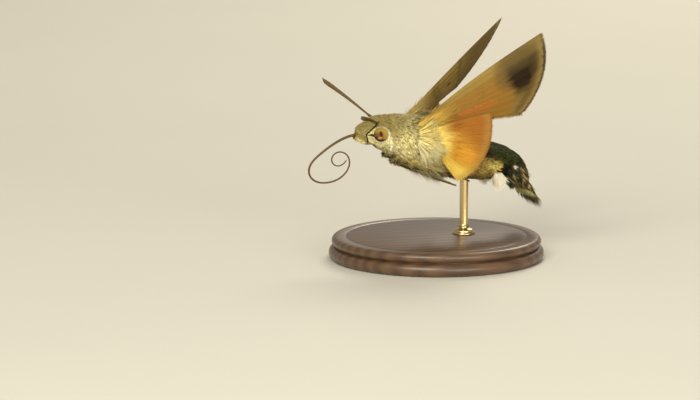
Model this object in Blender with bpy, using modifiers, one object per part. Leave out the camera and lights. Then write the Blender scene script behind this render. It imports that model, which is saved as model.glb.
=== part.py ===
"""Hummingbird hawk moth, hovering, life size, on a plain display stand. Metres, +Z up.

The moth faces -X and its left side is towards -Y. The origin is the middle of the underside of the
stand's base. Sizes of the moth are given from its body point, which lies on the middle plane between
the thorax and the abdomen: aft is towards the tail, out is away from the middle plane, up is +Z.
"""

import math
import random

import bmesh
import bpy
from mathutils import Vector

MM = 0.001
GAP = 0.3 * MM

# Stand
BASE_RADIUS = 15 * MM
BASE_THICKNESS = 3.2 * MM
BASE_BEADS = (
    {"low": 1.85 * MM, "high": BASE_THICKNESS, "inset": 1.1 * MM, "proud": 0.7 * MM},
    {"low": 0.0, "high": 1.75 * MM, "inset": 0.8 * MM, "proud": 0.8 * MM},
)
BEAD_STEPS = 6
ROD_RADIUS = 0.6 * MM
ROD_FOOT_RADIUS = 1.6 * MM
ROD_FOOT_HEIGHT = 0.8 * MM
ROD_AFT = 3.6 * MM
BODY_POINT = Vector((0.5 * MM, 0, 15.2 * MM))

# Body: aft, up, half depth and half width at each station of its centre line, in millimetres
STATIONS = (
    (-12.65, 2.85, 0.45, 0.40),
    (-11.95, 3.10, 1.15, 0.95),
    (-11.00, 3.22, 1.68, 1.42),
    (-9.70, 3.25, 2.30, 2.15),
    (-8.20, 2.95, 2.75, 2.75),
    (-6.40, 2.55, 3.20, 3.50),
    (-3.80, 1.70, 3.60, 4.00),
    (-0.80, 0.50, 3.50, 3.90),
    (1.50, -0.60, 3.10, 3.60),
    (5.00, -1.60, 2.95, 3.80),
    (8.20, -2.00, 2.70, 3.50),
    (10.60, -3.00, 2.15, 2.70),
    (12.00, -4.60, 1.30, 1.90),
)
NOSE_CAP = 0.6 * MM
TAIL_CAP = 0.9 * MM
BODY_SIDES = 24
NECK_AFT = 5.0 * MM
WAIST_AFT = 14.7 * MM
BELLY_AFT = 19.7 * MM
TAIL_AFT = 24.7 * MM
SEGMENT_LENGTH = 1.55 * MM
SEGMENT_STEP = 0.03

# Head
EYE_RADIUS = 1.02 * MM
EYE_PLACE = (-9.40, 1.68, 2.97)
PALP_PATH = ((-10.1, 1.10, 1.65), (-10.9, 1.18, 1.90), (-11.7, 1.00, 2.25), (-12.4, 0.62, 2.62))
PALP_HALF_DEPTH = 0.66 * MM
PALP_HALF_WIDTH = 0.50 * MM

# Antennae: where each one starts and the way it points (aft, out, up)
ANTENNA_LEFT_ROOT = (-9.70, 1.30, 4.50)
ANTENNA_RIGHT_ROOT = (-9.66, 1.20, 4.90)
ANTENNA_LENGTH = 9.2 * MM
ANTENNA_LEFT_WAY = (-0.55, 0.80, 0.22)
ANTENNA_RIGHT_WAY = (-0.565, 0.64, 0.52)
ANTENNA_BOW = 0.12 * MM
ANTENNA_HOOK = 0.22 * MM
ANTENNA_STEM_RADIUS = 0.25 * MM
ANTENNA_CLUB_RADIUS = 0.31 * MM

# Proboscis: how many degrees it turns in each millimetre, at even places from its root to its tip
PROBOSCIS_ROOT = (-11.10, 2.97)
PROBOSCIS_LENGTH = 25.2 * MM
PROBOSCIS_HEADING = 186.0
PROBOSCIS_LEAD = 1.57 * MM
PROBOSCIS_TURNS = (11.0, 4.0, 2.4, 41.3, 11.0, 17.6, 39.1, 61.1, 35.3)
PROBOSCIS_RADIUS = 0.25 * MM
PROBOSCIS_CURL_DRIFT = 0.85 * MM
PROBOSCIS_POINTS = 96
PROBOSCIS_CUTS = (0.36, 0.52, 0.70)

# Wings
MEMBRANE_THICKNESS = 0.5 * MM
VEIN_THICKNESS = 0.84 * MM
FOREWING_LENGTH = 21.5
FOREWING_LEFT_WAY = (0.757, 0.232, 0.588)
FOREWING_RIGHT_WAY = (0.769, 0.203, 0.606)
HINDWING_LENGTH = 10.4

# Legs: coxa, knee, end of the shin and end of the foot, each as aft, out and depth under the thorax
LEG_RADII = (0.40 * MM, 0.38 * MM, 0.29 * MM, 0.25 * MM, 0.14 * MM)

# Locks of long scales: the tail fan, and on each flank a white brush ahead of the black ones
LOCK_SIDES = 6
LOCK_THICKNESS = 0.55 * MM
FAN_ROOT = (11.2, 0, -3.7)
FAN_WAY = (0.56, 0, -0.83)
FAN_UPPER_SIDE = (0.83, 0, 0.56)
FAN_TIERS = ((9, -0.42, 6.3), (8, 0.38, 5.8))
FAN_HALF_WIDTH = 1.15
FAN_SPREAD = 21.0
FAN_LOCK_WIDTH = 1.35 * MM
BRUSH_ROWS = (
    {"first": 20.80, "last": 21.70, "count": 3, "angle": -38, "length": 2.2, "way": (0.16, 0.30, -0.94)},
    {"first": 22.55, "last": 24.05, "count": 4, "angle": -43, "length": 2.4, "way": (0.42, 0.30, -0.86)},
    {"first": 22.70, "last": 23.90, "count": 3, "angle": -12, "length": 2.7, "way": (0.66, 0.42, -0.62)},
)
BRUSH_LOCK_WIDTH = 0.95 * MM
BRUSH_ROOT_DEPTH = 0.75 * MM

MATERIALS = {
    "thorax_fur": ((0.30, 0.26, 0.14), 0.9),
    "face_scales": ((0.36, 0.32, 0.20), 0.9),
    "eye_brown": ((0.30, 0.14, 0.04), 0.25),
    "horn_brown": ((0.08, 0.05, 0.025), 0.5),
    "abdomen_scales": ((0.14, 0.12, 0.07), 0.8),
    "tail_black": ((0.015, 0.015, 0.012), 0.7),
    "forewing_scales": ((0.33, 0.17, 0.05), 0.8),
    "hindwing_orange": ((0.72, 0.30, 0.05), 0.8),
    "leg_scales": ((0.14, 0.10, 0.06), 0.8),
    "stand_wood": ((0.07, 0.045, 0.03), 0.4),
    "stand_metal": ((0.62, 0.52, 0.33), 0.3),
}


def clear_scene():
    for obj in list(bpy.data.objects):
        bpy.data.objects.remove(obj)


def new_collection(name, helper=False):
    made = bpy.data.collections.new(name)
    made.hide_render = helper
    bpy.context.scene.collection.children.link(made)
    return made


def material(name):
    found = bpy.data.materials.get(name)
    if found:
        return found
    colour, roughness = MATERIALS[name]
    made = bpy.data.materials.new(name)
    made.use_nodes = True
    shader = made.node_tree.nodes["Principled BSDF"]
    shader.inputs["Base Color"].default_value = (*colour, 1)
    shader.inputs["Roughness"].default_value = roughness
    shader.inputs["Metallic"].default_value = 1.0 if name == "stand_metal" else 0.0
    return made


def smooth_step(value):
    value = max(0.0, min(1.0, value))
    return value * value * (3 - 2 * value)


def moth_point(aft, out, up, side=1):
    """A place given in millimetres from the body point; side is 1 for the left and -1 for the right."""
    return BODY_POINT + Vector((aft, -out * side, up)) * MM


def moth_way(aft, out, up, side=1):
    return Vector((aft, -out * side, up)).normalized()


# Objects from meshes

def object_from(bm, name, surface, collection):
    bm.normal_update()
    bmesh.ops.recalc_face_normals(bm, faces=bm.faces)
    mesh = bpy.data.meshes.new(name)
    bm.to_mesh(mesh)
    bm.free()
    mesh.shade_smooth()
    mesh.set_sharp_from_angle(angle=math.radians(50))
    made = bpy.data.objects.new(name, mesh)
    made.data.materials.append(material(surface))
    collection.objects.link(made)
    return made


def helper(obj):
    obj.hide_render = True
    obj.display_type = "WIRE"
    return obj


def spindle(sides, rings, place):
    """A closed form with a pole at each end. place(ring, angle) gives each point."""
    bm = bmesh.new()
    bmesh.ops.create_uvsphere(bm, u_segments=sides, v_segments=rings - 1, radius=1)
    for vert in bm.verts:
        ring = round(math.acos(max(-1.0, min(1.0, vert.co.z))) / math.pi * (rings - 1))
        vert.co = place(ring, math.atan2(vert.co.y, vert.co.x))
    return bm


def only_largest(bm):
    """Keeps the closed surface that holds the most, and drops the others."""
    left = set(bm.faces)
    shells = []
    while left:
        shell = set()
        front = [left.pop()]
        while front:
            face = front.pop()
            shell.add(face)
            for edge in face.edges:
                for other in edge.link_faces:
                    if other in left:
                        left.remove(other)
                        front.append(other)
        shells.append(shell)
    if len(shells) > 1:
        shells.sort(key=shell_volume)
        drop = [face for shell in shells[:-1] for face in shell]
        bmesh.ops.delete(bm, geom=drop, context="FACES")
    return bm


def shell_volume(shell):
    volume = 0.0
    for face in shell:
        corners = [vert.co for vert in face.verts]
        for second, third in zip(corners[1:], corners[2:]):
            volume += corners[0].dot(second.cross(third)) / 6
    return abs(volume)


def baked(obj, name, weld=0.0):
    """The object as its modifiers leave it, in place of the object."""
    graph = bpy.context.evaluated_depsgraph_get()
    mesh = bpy.data.meshes.new_from_object(obj.evaluated_get(graph))
    mesh.transform(obj.matrix_world)
    surface = obj.data.materials[0].name
    collection = obj.users_collection[0]
    bpy.data.objects.remove(obj)
    bm = bmesh.new()
    bm.from_mesh(mesh)
    bpy.data.meshes.remove(mesh)
    if weld:
        bmesh.ops.remove_doubles(bm, verts=bm.verts, dist=weld)
    bmesh.ops.triangulate(bm, faces=bm.faces)
    return object_from(only_largest(bm), name, surface, collection)


def cut_by(obj, *cutters):
    for cutter in cutters:
        cut = obj.modifiers.new("cut", "BOOLEAN")
        cut.operation = "DIFFERENCE"
        cut.object = cutter
        cut.solver = "MANIFOLD"
    return baked(obj, obj.name)


def fuse(obj, pieces):
    """Joins the pieces to the object by one union, and removes them."""
    joined = new_collection("joined_to_" + obj.name, helper=True)
    for piece in pieces:
        for old in piece.users_collection:
            old.objects.unlink(piece)
        joined.objects.link(piece)
    union = obj.modifiers.new("union", "BOOLEAN")
    union.operation = "UNION"
    union.operand_type = "COLLECTION"
    union.collection = joined
    union.solver = "MANIFOLD"
    whole = baked(obj, obj.name)
    for piece in pieces:
        bpy.data.objects.remove(piece)
    bpy.data.collections.remove(joined)
    return whole


# The body's form

class Spine:
    """The centre line of the body and its half sizes, as smooth functions of the distance along it."""

    def __init__(self, stations):
        self.rows = [[value * MM for value in station] for station in stations]
        self.marks = [0.0]
        for here, there in zip(self.rows, self.rows[1:]):
            step = math.hypot(there[0] - here[0], there[1] - here[1])
            self.marks.append(self.marks[-1] + step)
        self.length = self.marks[-1]

    def slope(self, index, column):
        low, high = max(index - 1, 0), min(index + 1, len(self.rows) - 1)
        rise = self.rows[high][column] - self.rows[low][column]
        return rise / (self.marks[high] - self.marks[low])

    def value(self, distance, column):
        index = 0
        while index < len(self.rows) - 2 and distance > self.marks[index + 1]:
            index += 1
        span = self.marks[index + 1] - self.marks[index]
        t = (distance - self.marks[index]) / span
        start, end = self.rows[index][column], self.rows[index + 1][column]
        if not 0 <= t <= 1:
            return start + (end - start) * t
        return (
            start * (2 * t**3 - 3 * t**2 + 1)
            + self.slope(index, column) * span * (t**3 - 2 * t**2 + t)
            + end * (3 * t**2 - 2 * t**3)
            + self.slope(index + 1, column) * span * (t**3 - t**2)
        )

    def centre(self, distance):
        return BODY_POINT + Vector((self.value(distance, 0), 0, self.value(distance, 1)))

    def along(self, distance):
        step = 0.2 * MM
        return (self.centre(distance + step) - self.centre(distance - step)).normalized()

    def above(self, distance):
        along = self.along(distance)
        return Vector((-along.z, 0, along.x))

    def end_share(self, distance):
        """How full the section is: 1 along the body, and rounding to 0 at the nose and the tail."""
        near_nose = max(0.0, 1 - distance / NOSE_CAP)
        near_tail = max(0.0, 1 - (self.length - distance) / TAIL_CAP)
        return math.sqrt(max(0.0, 1 - near_nose**2)) * math.sqrt(max(0.0, 1 - near_tail**2))

    def surface(self, distance, angle, extra=0.0):
        """angle 0 is the left flank, a quarter turn on is the back."""
        fullness = self.end_share(distance) * segment_swell(distance)
        width = self.value(distance, 3) * fullness + extra
        depth = self.value(distance, 2) * fullness + extra
        left = Vector((0, -1, 0))
        offset = left * math.cos(angle) * width + self.above(distance) * math.sin(angle) * depth
        return self.centre(distance) + offset

    def distance_at(self, aft):
        """The distance along the body whose centre lies this far aft of the body point."""
        low, high = 0.0, self.length
        for _ in range(40):
            middle = (low + high) / 2
            if self.value(middle, 0) < aft:
                low = middle
            else:
                high = middle
        return low


SPINE = Spine(STATIONS)


def segment_swell(distance):
    """The rear edge of each abdomen ring stands a little proud of the ring behind it."""
    if distance < WAIST_AFT:
        return 1.0
    along_ring = ((distance - WAIST_AFT) / SEGMENT_LENGTH) % 1.0
    return 1 - SEGMENT_STEP + SEGMENT_STEP * smooth_step(along_ring / 0.92)


def body_rings():
    """Distances of the rings of the body's mesh, closer at the nose and at each abdomen ring."""
    rings = [share * NOSE_CAP for share in (0.0, 0.08, 0.3, 0.65)]
    count = 15
    rings += [NOSE_CAP + (WAIST_AFT - NOSE_CAP) * step / count for step in range(count)]
    ring = WAIST_AFT
    while ring < SPINE.length - TAIL_CAP:
        rings += [ring, ring + 0.5 * SEGMENT_LENGTH, ring + 0.9 * SEGMENT_LENGTH]
        ring += SEGMENT_LENGTH
    rings = [ring for ring in rings if ring < SPINE.length - TAIL_CAP]
    rings += [SPINE.length - share * TAIL_CAP for share in (0.65, 0.3, 0.08, 0.0)]
    return rings


def body_form(name, extra, collection):
    """The whole body, or a copy of it that is larger all round by the extra."""
    rings = body_rings()

    def place(ring, angle):
        distance = rings[ring]
        if ring in (0, len(rings) - 1):
            return SPINE.centre(distance) + SPINE.along(distance) * (extra if ring else -extra)
        return SPINE.surface(distance, angle, extra)

    return object_from(spindle(BODY_SIDES, len(rings), place), name, "thorax_fur", collection)


def body_length(name, start, end, surface, collection, extra=0.0):
    """The stretch of the body from start to end, with flat faces where it meets its neighbours."""
    whole = body_form(name + "_whole", extra, collection)
    bm = bmesh.new()
    bm.from_mesh(whole.data)
    bpy.data.objects.remove(whole)
    for distance, before in ((start, True), (end, False)):
        if distance is None:
            continue
        at = distance + (GAP / 2 if before else -GAP / 2)
        cut = bmesh.ops.bisect_plane(
            bm,
            geom=bm.verts[:] + bm.edges[:] + bm.faces[:],
            plane_co=SPINE.centre(at),
            plane_no=SPINE.along(at),
            clear_inner=before,
            clear_outer=not before,
        )
        rim = [piece for piece in cut["geom_cut"] if isinstance(piece, bmesh.types.BMEdge)]
        bmesh.ops.holes_fill(bm, edges=rim, sides=0)
    return object_from(bm, name, surface, collection)


# Long pieces

def tube(name, points, radii, surface, collection, sides=8):
    """A round bar through the points, as a curve, made a closed mesh."""
    curve = bpy.data.curves.new(name, "CURVE")
    curve.dimensions = "3D"
    curve.bevel_depth = 1.0
    curve.bevel_resolution = sides // 2 - 2
    curve.use_fill_caps = True
    spline = curve.splines.new("POLY")
    spline.points.add(len(points) - 1)
    for knot, point, radius in zip(spline.points, points, radii):
        knot.co = (*point, 1)
        knot.radius = radius
    curve.materials.append(material(surface))
    made = bpy.data.objects.new(name, curve)
    collection.objects.link(made)
    return baked(made, name, weld=0.001 * MM)


def through(knots, count):
    """Points along a smooth curve through the knots, with the share of the way at each."""
    made = []
    last = len(knots) - 1
    for step in range(count):
        place = step / (count - 1) * last
        index = min(int(place), last - 1)
        t = place - index
        before = knots[max(index - 1, 0)]
        start, end = knots[index], knots[index + 1]
        after = knots[min(index + 2, last)]
        point = [
            0.5
            * (
                2 * s
                + (e - b) * t
                + (2 * b - 5 * s + 4 * e - a) * t**2
                + (3 * s - b - 3 * e + a) * t**3
            )
            for b, s, e, a in zip(before, start, end, after)
        ]
        made.append(Vector(point))
    return made


def mixed(values, share):
    place = share * (len(values) - 1)
    index = min(int(place), len(values) - 2)
    return values[index] + (values[index + 1] - values[index]) * (place - index)


# Head

def head(skin, eye_hollows, collection):
    made = body_length("head", None, NECK_AFT, "face_scales", collection)
    return cut_by(made, *eye_hollows)


def eye_ball(name, side, radius, surface, collection):
    bm = bmesh.new()
    bmesh.ops.create_uvsphere(bm, u_segments=16, v_segments=10, radius=radius)
    bmesh.ops.translate(bm, verts=bm.verts, vec=moth_point(*EYE_PLACE, side))
    return object_from(bm, name, surface, collection)


def palp(name, side, skin, collection):
    shares = (0.0, 0.12, 0.35, 0.6, 0.82, 0.96, 1.0)
    fullness = (0.0, 0.75, 1.0, 0.95, 0.7, 0.35, 0.0)
    knots = [moth_point(*knot, side) for knot in PALP_PATH]
    path = through(knots, 25)

    def place(ring, angle):
        index = round(shares[ring] * (len(path) - 1))
        along = (path[min(index + 1, 24)] - path[max(index - 1, 0)]).normalized()
        left = Vector((0, -1, 0))
        above = left.cross(along).normalized()
        width = PALP_HALF_WIDTH * fullness[ring] * math.cos(angle)
        depth = PALP_HALF_DEPTH * fullness[ring] * math.sin(angle)
        return path[index] + left * width + above * depth

    made = object_from(spindle(12, len(shares), place), name, "face_scales", collection)
    return cut_by(made, skin)


def antenna(name, side, root, way, skin, collection):
    """A thin stem that thickens to a club before its fine hooked tip."""
    root = moth_point(*root, side)
    way = moth_way(*way, side)
    bow = way.cross(Vector((0, 0, 1))).normalized().cross(way)
    shares = (0, 0.04, 0.1, 0.25, 0.4, 0.55, 0.68, 0.78, 0.86, 0.92, 0.96, 1.0)
    swell = (0.6, 0.6, 0.0, 0.0, 0.0, 0.1, 0.5, 0.9, 1.0, 0.8, -0.4, -2.2)
    points = []
    for share in shares:
        hook = ANTENNA_HOOK * max(0.0, (share - 0.92) / 0.08) ** 2
        lift = ANTENNA_BOW * math.sin(math.pi * share)
        points.append(root + way * ANTENNA_LENGTH * share + bow * (lift + hook))
    thicker = ANTENNA_CLUB_RADIUS - ANTENNA_STEM_RADIUS
    sizes = [ANTENNA_STEM_RADIUS + thicker * share for share in swell]
    made = tube(name, points, sizes, "horn_brown", collection)
    return cut_by(made, skin)


def proboscis_path():
    """The tongue's centre line in the middle plane, drifting to the right where it curls inwards."""
    heading = math.radians(PROBOSCIS_HEADING)
    point = BODY_POINT + Vector((PROBOSCIS_ROOT[0] * MM, 0, PROBOSCIS_ROOT[1] * MM))
    points = [point]
    step = PROBOSCIS_LENGTH / (PROBOSCIS_POINTS - 1)
    for index in range(1, PROBOSCIS_POINTS):
        run = index * step
        free = (run - PROBOSCIS_LEAD) / (PROBOSCIS_LENGTH - PROBOSCIS_LEAD)
        if free > 0:
            heading += math.radians(mixed(PROBOSCIS_TURNS, free)) * step / MM
        drift = PROBOSCIS_CURL_DRIFT * smooth_step((free - 0.72) / 0.28)
        point = point + Vector((math.cos(heading), 0, math.sin(heading))) * step
        points.append(Vector((point.x, drift, point.z)))
    return points


def proboscis(skin, collection):
    """The tongue in four lengths, each small enough to bend round no wide gap."""
    path = proboscis_path()
    names = ("proboscis_root", "proboscis_arm", "proboscis_bend", "proboscis_curl")
    edges = (0.0, *PROBOSCIS_CUTS, 1.0)
    last = PROBOSCIS_POINTS - 1
    for name, start, end in zip(names, edges, edges[1:]):
        low, high = round(start * last), round(end * last)
        stretch = [point.copy() for point in path[low : high + 1 : 2]]
        if (high - low) % 2:
            stretch.append(path[high].copy())
        if start > 0:
            way = (stretch[1] - stretch[0]).normalized()
            stretch[0] += way * GAP / 2
        if end < 1:
            way = (stretch[-1] - stretch[-2]).normalized()
            stretch[-1] -= way * GAP / 2
        radii = [PROBOSCIS_RADIUS] * len(stretch)
        if end == 1.0:
            radii[-1] = 0.6 * PROBOSCIS_RADIUS
        made = tube(name, stretch, radii, "horn_brown", collection)
        if start == 0:
            cut_by(made, skin)


# Wings

class Wing:
    """A sheet of straight rays from the root, on the body's side, to the curved outer margin."""

    def __init__(self, side, root_front, root_rear, costa_way, chord_way, length, hind_corner,
                 bulge, camber, costa_bow, veins, cell):
        self.root_front = moth_point(*root_front, side)
        self.root_rear = moth_point(*root_rear, side)
        self.costa = moth_way(*costa_way, side)
        chord = moth_way(*chord_way, side)
        self.chord = (chord - self.costa * chord.dot(self.costa)).normalized()
        self.upper = self.costa.cross(self.chord) * side
        self.tip = self.root_front + self.costa * length * MM
        along, across = hind_corner
        self.corner = self.root_front + self.costa * along * MM + self.chord * across * MM
        self.bulge = bulge * MM
        self.camber = camber * MM
        self.costa_bow = costa_bow * MM
        self.veins = veins
        self.cell = cell

    def margin(self, across):
        """The outer margin, from the wing's tip at 0 to its hind corner at 1."""
        edge = self.corner - self.tip
        out = edge.cross(self.upper).normalized()
        if out.dot(self.tip - self.root_front) < 0:
            out = -out
        return self.tip + edge * across + out * self.bulge * math.sin(math.pi * across) ** 0.8

    def point(self, along, across):
        root = self.root_front.lerp(self.root_rear, across)
        flat = root.lerp(self.margin(across), along)
        lift = self.upper * self.camber * math.sin(math.pi * along) * math.sin(math.pi * across)
        bow = self.chord * self.costa_bow * math.sin(math.pi * along) * (1 - across) ** 3
        return flat + lift - bow

    def vein_share(self, along, across):
        """1 on a vein's crest and 0 on the membrane."""
        start, end = self.cell
        for vein_across, is_stem in self.veins:
            if abs(vein_across - across) < 1e-6:
                rise = (along - 0.08) / 0.14 if is_stem else (along - start) / 0.06 + 1
                return smooth_step(rise) * smooth_step((1.0 - along) / 0.05)
        inside_cell = self.veins[1][0] < across < self.veins[end][0]
        return 1.0 if inside_cell and abs(along - start) < 1e-6 else 0.0


def wing_columns(veins):
    half = 0.022
    columns = {0.0, 1.0}
    for across, _ in veins:
        columns |= {round(max(0.0, min(1.0, across + shift)), 4) for shift in (-half, 0.0, half)}
    return sorted(columns)


def wing_rows(cell_end, count):
    rows = {round(step / count, 4) for step in range(count + 1)}
    rows = {row for row in rows if abs(row - cell_end) > 0.45 / count}
    rows |= {round(cell_end + shift, 4) for shift in (-0.02, 0.0, 0.02)}
    return sorted(rows)


def wing_sheet(name, wing, rows, surface, collection):
    """A triangulated grid laid on the wing's sheet, with walls that thicken along the veins."""
    columns = wing_columns(wing.veins)
    bm = bmesh.new()
    bmesh.ops.create_grid(
        bm, x_segments=len(columns) - 1, y_segments=len(rows) - 1, size=0.5
    )
    bm.verts.index_update()
    shares = {}
    for vert in bm.verts:
        column = round((vert.co.x + 0.5) * (len(columns) - 1))
        row = round((vert.co.y + 0.5) * (len(rows) - 1))
        along, across = rows[row], columns[column]
        vert.co = wing.point(along, across)
        shares[vert.index] = wing.vein_share(along, across)
    bmesh.ops.triangulate(bm, faces=bm.faces, quad_method="FIXED")
    mesh = bpy.data.meshes.new(name)
    bm.to_mesh(mesh)
    bm.free()
    made = bpy.data.objects.new(name, mesh)
    made.data.materials.append(material(surface))
    collection.objects.link(made)
    group = made.vertex_groups.new(name="vein")
    plain = MEMBRANE_THICKNESS / VEIN_THICKNESS
    for index, share in shares.items():
        group.add([index], plain + (1 - plain) * share, "REPLACE")
    wall = made.modifiers.new("wall", "SOLIDIFY")
    wall.thickness = VEIN_THICKNESS
    wall.offset = 0.0
    wall.vertex_group = group.name
    return made


FOREWING_VEINS = (
    (0.075, True), (0.17, True), (0.28, False), (0.39, False), (0.50, False),
    (0.61, False), (0.72, True), (0.88, True),
)
HINDWING_VEINS = (
    (0.10, True), (0.24, True), (0.38, False), (0.52, False), (0.66, True), (0.86, True),
)


def forewing(side, costa_way):
    return Wing(
        side, root_front=(-4.9, 2.6, 3.85), root_rear=(-3.0, 2.5, 3.75),
        costa_way=costa_way, chord_way=(0.200, 0.775, -0.600),
        length=FOREWING_LENGTH, hind_corner=(13.2, 8.5), bulge=1.7, camber=0.7, costa_bow=0.5,
        veins=FOREWING_VEINS, cell=(0.48, 6),
    )


def hindwing(side):
    return Wing(
        side, root_front=(-3.6, 3.0, 2.95), root_rear=(-2.2, 3.3, 1.1),
        costa_way=(0.667, 0.666, 0.335), chord_way=(0.325, 0.145, -0.935),
        length=HINDWING_LENGTH, hind_corner=(2.5, 7.4), bulge=1.8, camber=-0.4, costa_bow=0.3,
        veins=HINDWING_VEINS, cell=(0.45, 4),
    )


def mirrored(obj, name):
    bm = bmesh.new()
    bm.from_mesh(obj.data)
    for vert in bm.verts:
        vert.co.y = -vert.co.y
    bmesh.ops.reverse_faces(bm, faces=bm.faces)
    return object_from(bm, name, obj.data.materials[0].name, obj.users_collection[0])


def wings(skin, collection):
    for name, side, way in (("left", 1, FOREWING_LEFT_WAY), ("right", -1, FOREWING_RIGHT_WAY)):
        fore = wing_sheet(
            "forewing_" + name, forewing(side, way), wing_rows(0.48, 9), "forewing_scales", collection
        )
        cut_by(fore, skin)
        hind = wing_sheet(
            "hindwing_" + name, hindwing(side), wing_rows(0.45, 7), "hindwing_orange", collection
        )
        cut_by(hind, skin)


# Legs

LEGS = {
    "leg_front": ((-5.6, 1.05, -1.0), (-6.7, 1.55, 0.0), (-4.0, 1.75, 0.0), (-0.8, 1.65, 0.0)),
    "leg_middle": ((-4.3, 0.75, -1.0), (-5.6, 0.72, 0.0), (-2.0, 0.72, 0.0), (3.0, 0.80, 0.8)),
    "leg_hind": ((-2.6, 2.30, -1.0), (-4.2, 2.75, 0.0), (-0.2, 2.65, 0.0), (3.9, 2.30, 0.3)),
}


def under_body(aft, out, drop):
    """A place this far below the underside of the body, out from the middle plane."""
    distance = SPINE.distance_at(aft * MM)
    width = SPINE.value(distance, 3)
    angle = -math.acos(min(0.98, out * MM / width))
    floor = SPINE.surface(distance, angle)
    away = (floor - SPINE.centre(distance)).normalized()
    return floor + away * drop * MM


def leg(name, joints, skin, collection):
    """A leg folded along the underside: a thigh forwards, then the shin and foot back."""
    clear = (GAP + LEG_RADII[1]) / MM
    hip, knee, ankle, tip = joints
    start, bend = under_body(*hip), under_body(knee[0], knee[1], clear + knee[2])
    thigh_points = [start, start.lerp(bend, 0.5), bend]
    thigh = tube(name + "_thigh", thigh_points, [LEG_RADII[0]] * 3, "leg_scales", collection)
    points = []
    radii = []
    steps = 5
    for first, last, thick, thin in ((knee, ankle, *LEG_RADII[1:3]), (ankle, tip, *LEG_RADII[3:5])):
        for step in range(steps):
            share = step / steps
            aft, out, extra = (a + (b - a) * share for a, b in zip(first, last))
            points.append(under_body(aft, out, clear + extra))
            radii.append(thick + (thin - thick) * share)
    points.append(under_body(tip[0], tip[1], clear + tip[2]))
    radii.append(LEG_RADII[4])
    shin = tube(name + "_shin", points, radii, "leg_scales", collection)
    whole = cut_by(fuse(shin, [thigh]), skin)
    whole.name = name + "_left"
    mirrored(whole, name + "_right")


# Locks of long scales

def lock(name, root, way, across, length, width, thickness, curl, surface, collection):
    """A flat, tapered lock that bends towards its face as it nears the tip."""
    shares = (0.0, 0.05, 0.35, 0.7, 1.0)
    fullness = (0.0, 0.8, 1.0, 0.68, 0.0)
    way = way.normalized()
    across = (across - way * across.dot(way)).normalized()
    face = across.cross(way)

    def place(ring, angle):
        share = shares[ring]
        middle = root + way * length * share + face * curl * share**2
        thick = thickness * (1 - 0.55 * share)
        flat = across * math.cos(angle) * width / 2 * fullness[ring]
        deep = face * math.sin(angle) * thick / 2 * fullness[ring] ** 0.5
        return middle + flat + deep

    return object_from(spindle(LOCK_SIDES, len(shares), place), name, surface, collection)


def tail_fan(tail, collection):
    """Two tiers of flat locks that spread from the end of the body."""
    draw = random.Random(7)
    way = moth_way(*FAN_WAY)
    upper_side = moth_way(*FAN_UPPER_SIDE)
    left = Vector((0, -1, 0))
    locks = []
    for count, lift, length in FAN_TIERS:
        for index in range(count):
            spread = 2 * index / (count - 1) - 1
            turn = math.radians(FAN_SPREAD * spread)
            stagger = 0.10 * (-1) ** index
            root = (
                moth_point(*FAN_ROOT)
                + left * FAN_HALF_WIDTH * spread * MM
                + upper_side * (lift + stagger) * MM
            )
            reach = length * (1 - 0.16 * spread**2) * draw.uniform(0.95, 1.0) * MM
            locks.append(
                lock(
                    f"fan_lock_{len(locks)}", root, way * math.cos(turn) + left * math.sin(turn),
                    left, reach, FAN_LOCK_WIDTH, LOCK_THICKNESS, 0.25 * MM, "tail_black", collection,
                )
            )
    return fuse(tail, locks)


def side_brushes(rear, clearance, collection):
    """Flat locks that hang down and back from each flank: a white brush, then two black rows."""
    draw = random.Random(11)
    locks = []
    for side in (1, -1):
        for row in BRUSH_ROWS:
            for index in range(row["count"]):
                share = index / (row["count"] - 1)
                distance = (row["first"] + (row["last"] - row["first"]) * share) * MM
                spot = SPINE.surface(distance, math.radians(row["angle"] + draw.uniform(-4, 4)))
                inwards = (SPINE.centre(distance) - spot).normalized()
                root = spot + inwards * BRUSH_ROOT_DEPTH
                root.y *= side
                reach = row["length"] * draw.uniform(0.9, 1.05) * MM + BRUSH_ROOT_DEPTH
                locks.append(
                    lock(
                        f"brush_lock_{len(locks)}", root, moth_way(*row["way"], side),
                        SPINE.along(distance), reach, BRUSH_LOCK_WIDTH, LOCK_THICKNESS,
                        0.0, "tail_black", collection,
                    )
                )
    return cut_by(fuse(rear, locks), clearance)


def turned(name, profile, steps, surface, collection):
    """A profile of radius and height, from the top down, turned round the upright axis."""
    mesh = bpy.data.meshes.new(name)
    edges = [(index, index + 1) for index in range(len(profile) - 1)]
    mesh.from_pydata([(radius, 0, height) for radius, height in profile], edges, [])
    made = bpy.data.objects.new(name, mesh)
    made.data.materials.append(material(surface))
    collection.objects.link(made)
    turn = made.modifiers.new("turn", "SCREW")
    turn.steps = turn.render_steps = steps
    turn.use_merge_vertices = True
    turn.merge_threshold = 0.01 * MM
    return made


def stand_base(collection):
    """A flat disc whose edge is two round beads, the lower one wider, with a groove between them."""
    profile = [(0.0, BASE_THICKNESS)]
    for bead in BASE_BEADS:
        middle = (bead["low"] + bead["high"]) / 2
        half = (bead["high"] - bead["low"]) / 2
        core = BASE_RADIUS - bead["inset"]
        for step in range(BEAD_STEPS + 1):
            turn = math.pi * step / BEAD_STEPS
            profile.append((core + bead["proud"] * math.sin(turn), middle + half * math.cos(turn)))
    profile.append((0.0, 0.0))
    turned("stand_base", profile, 48, "stand_wood", collection)


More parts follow.
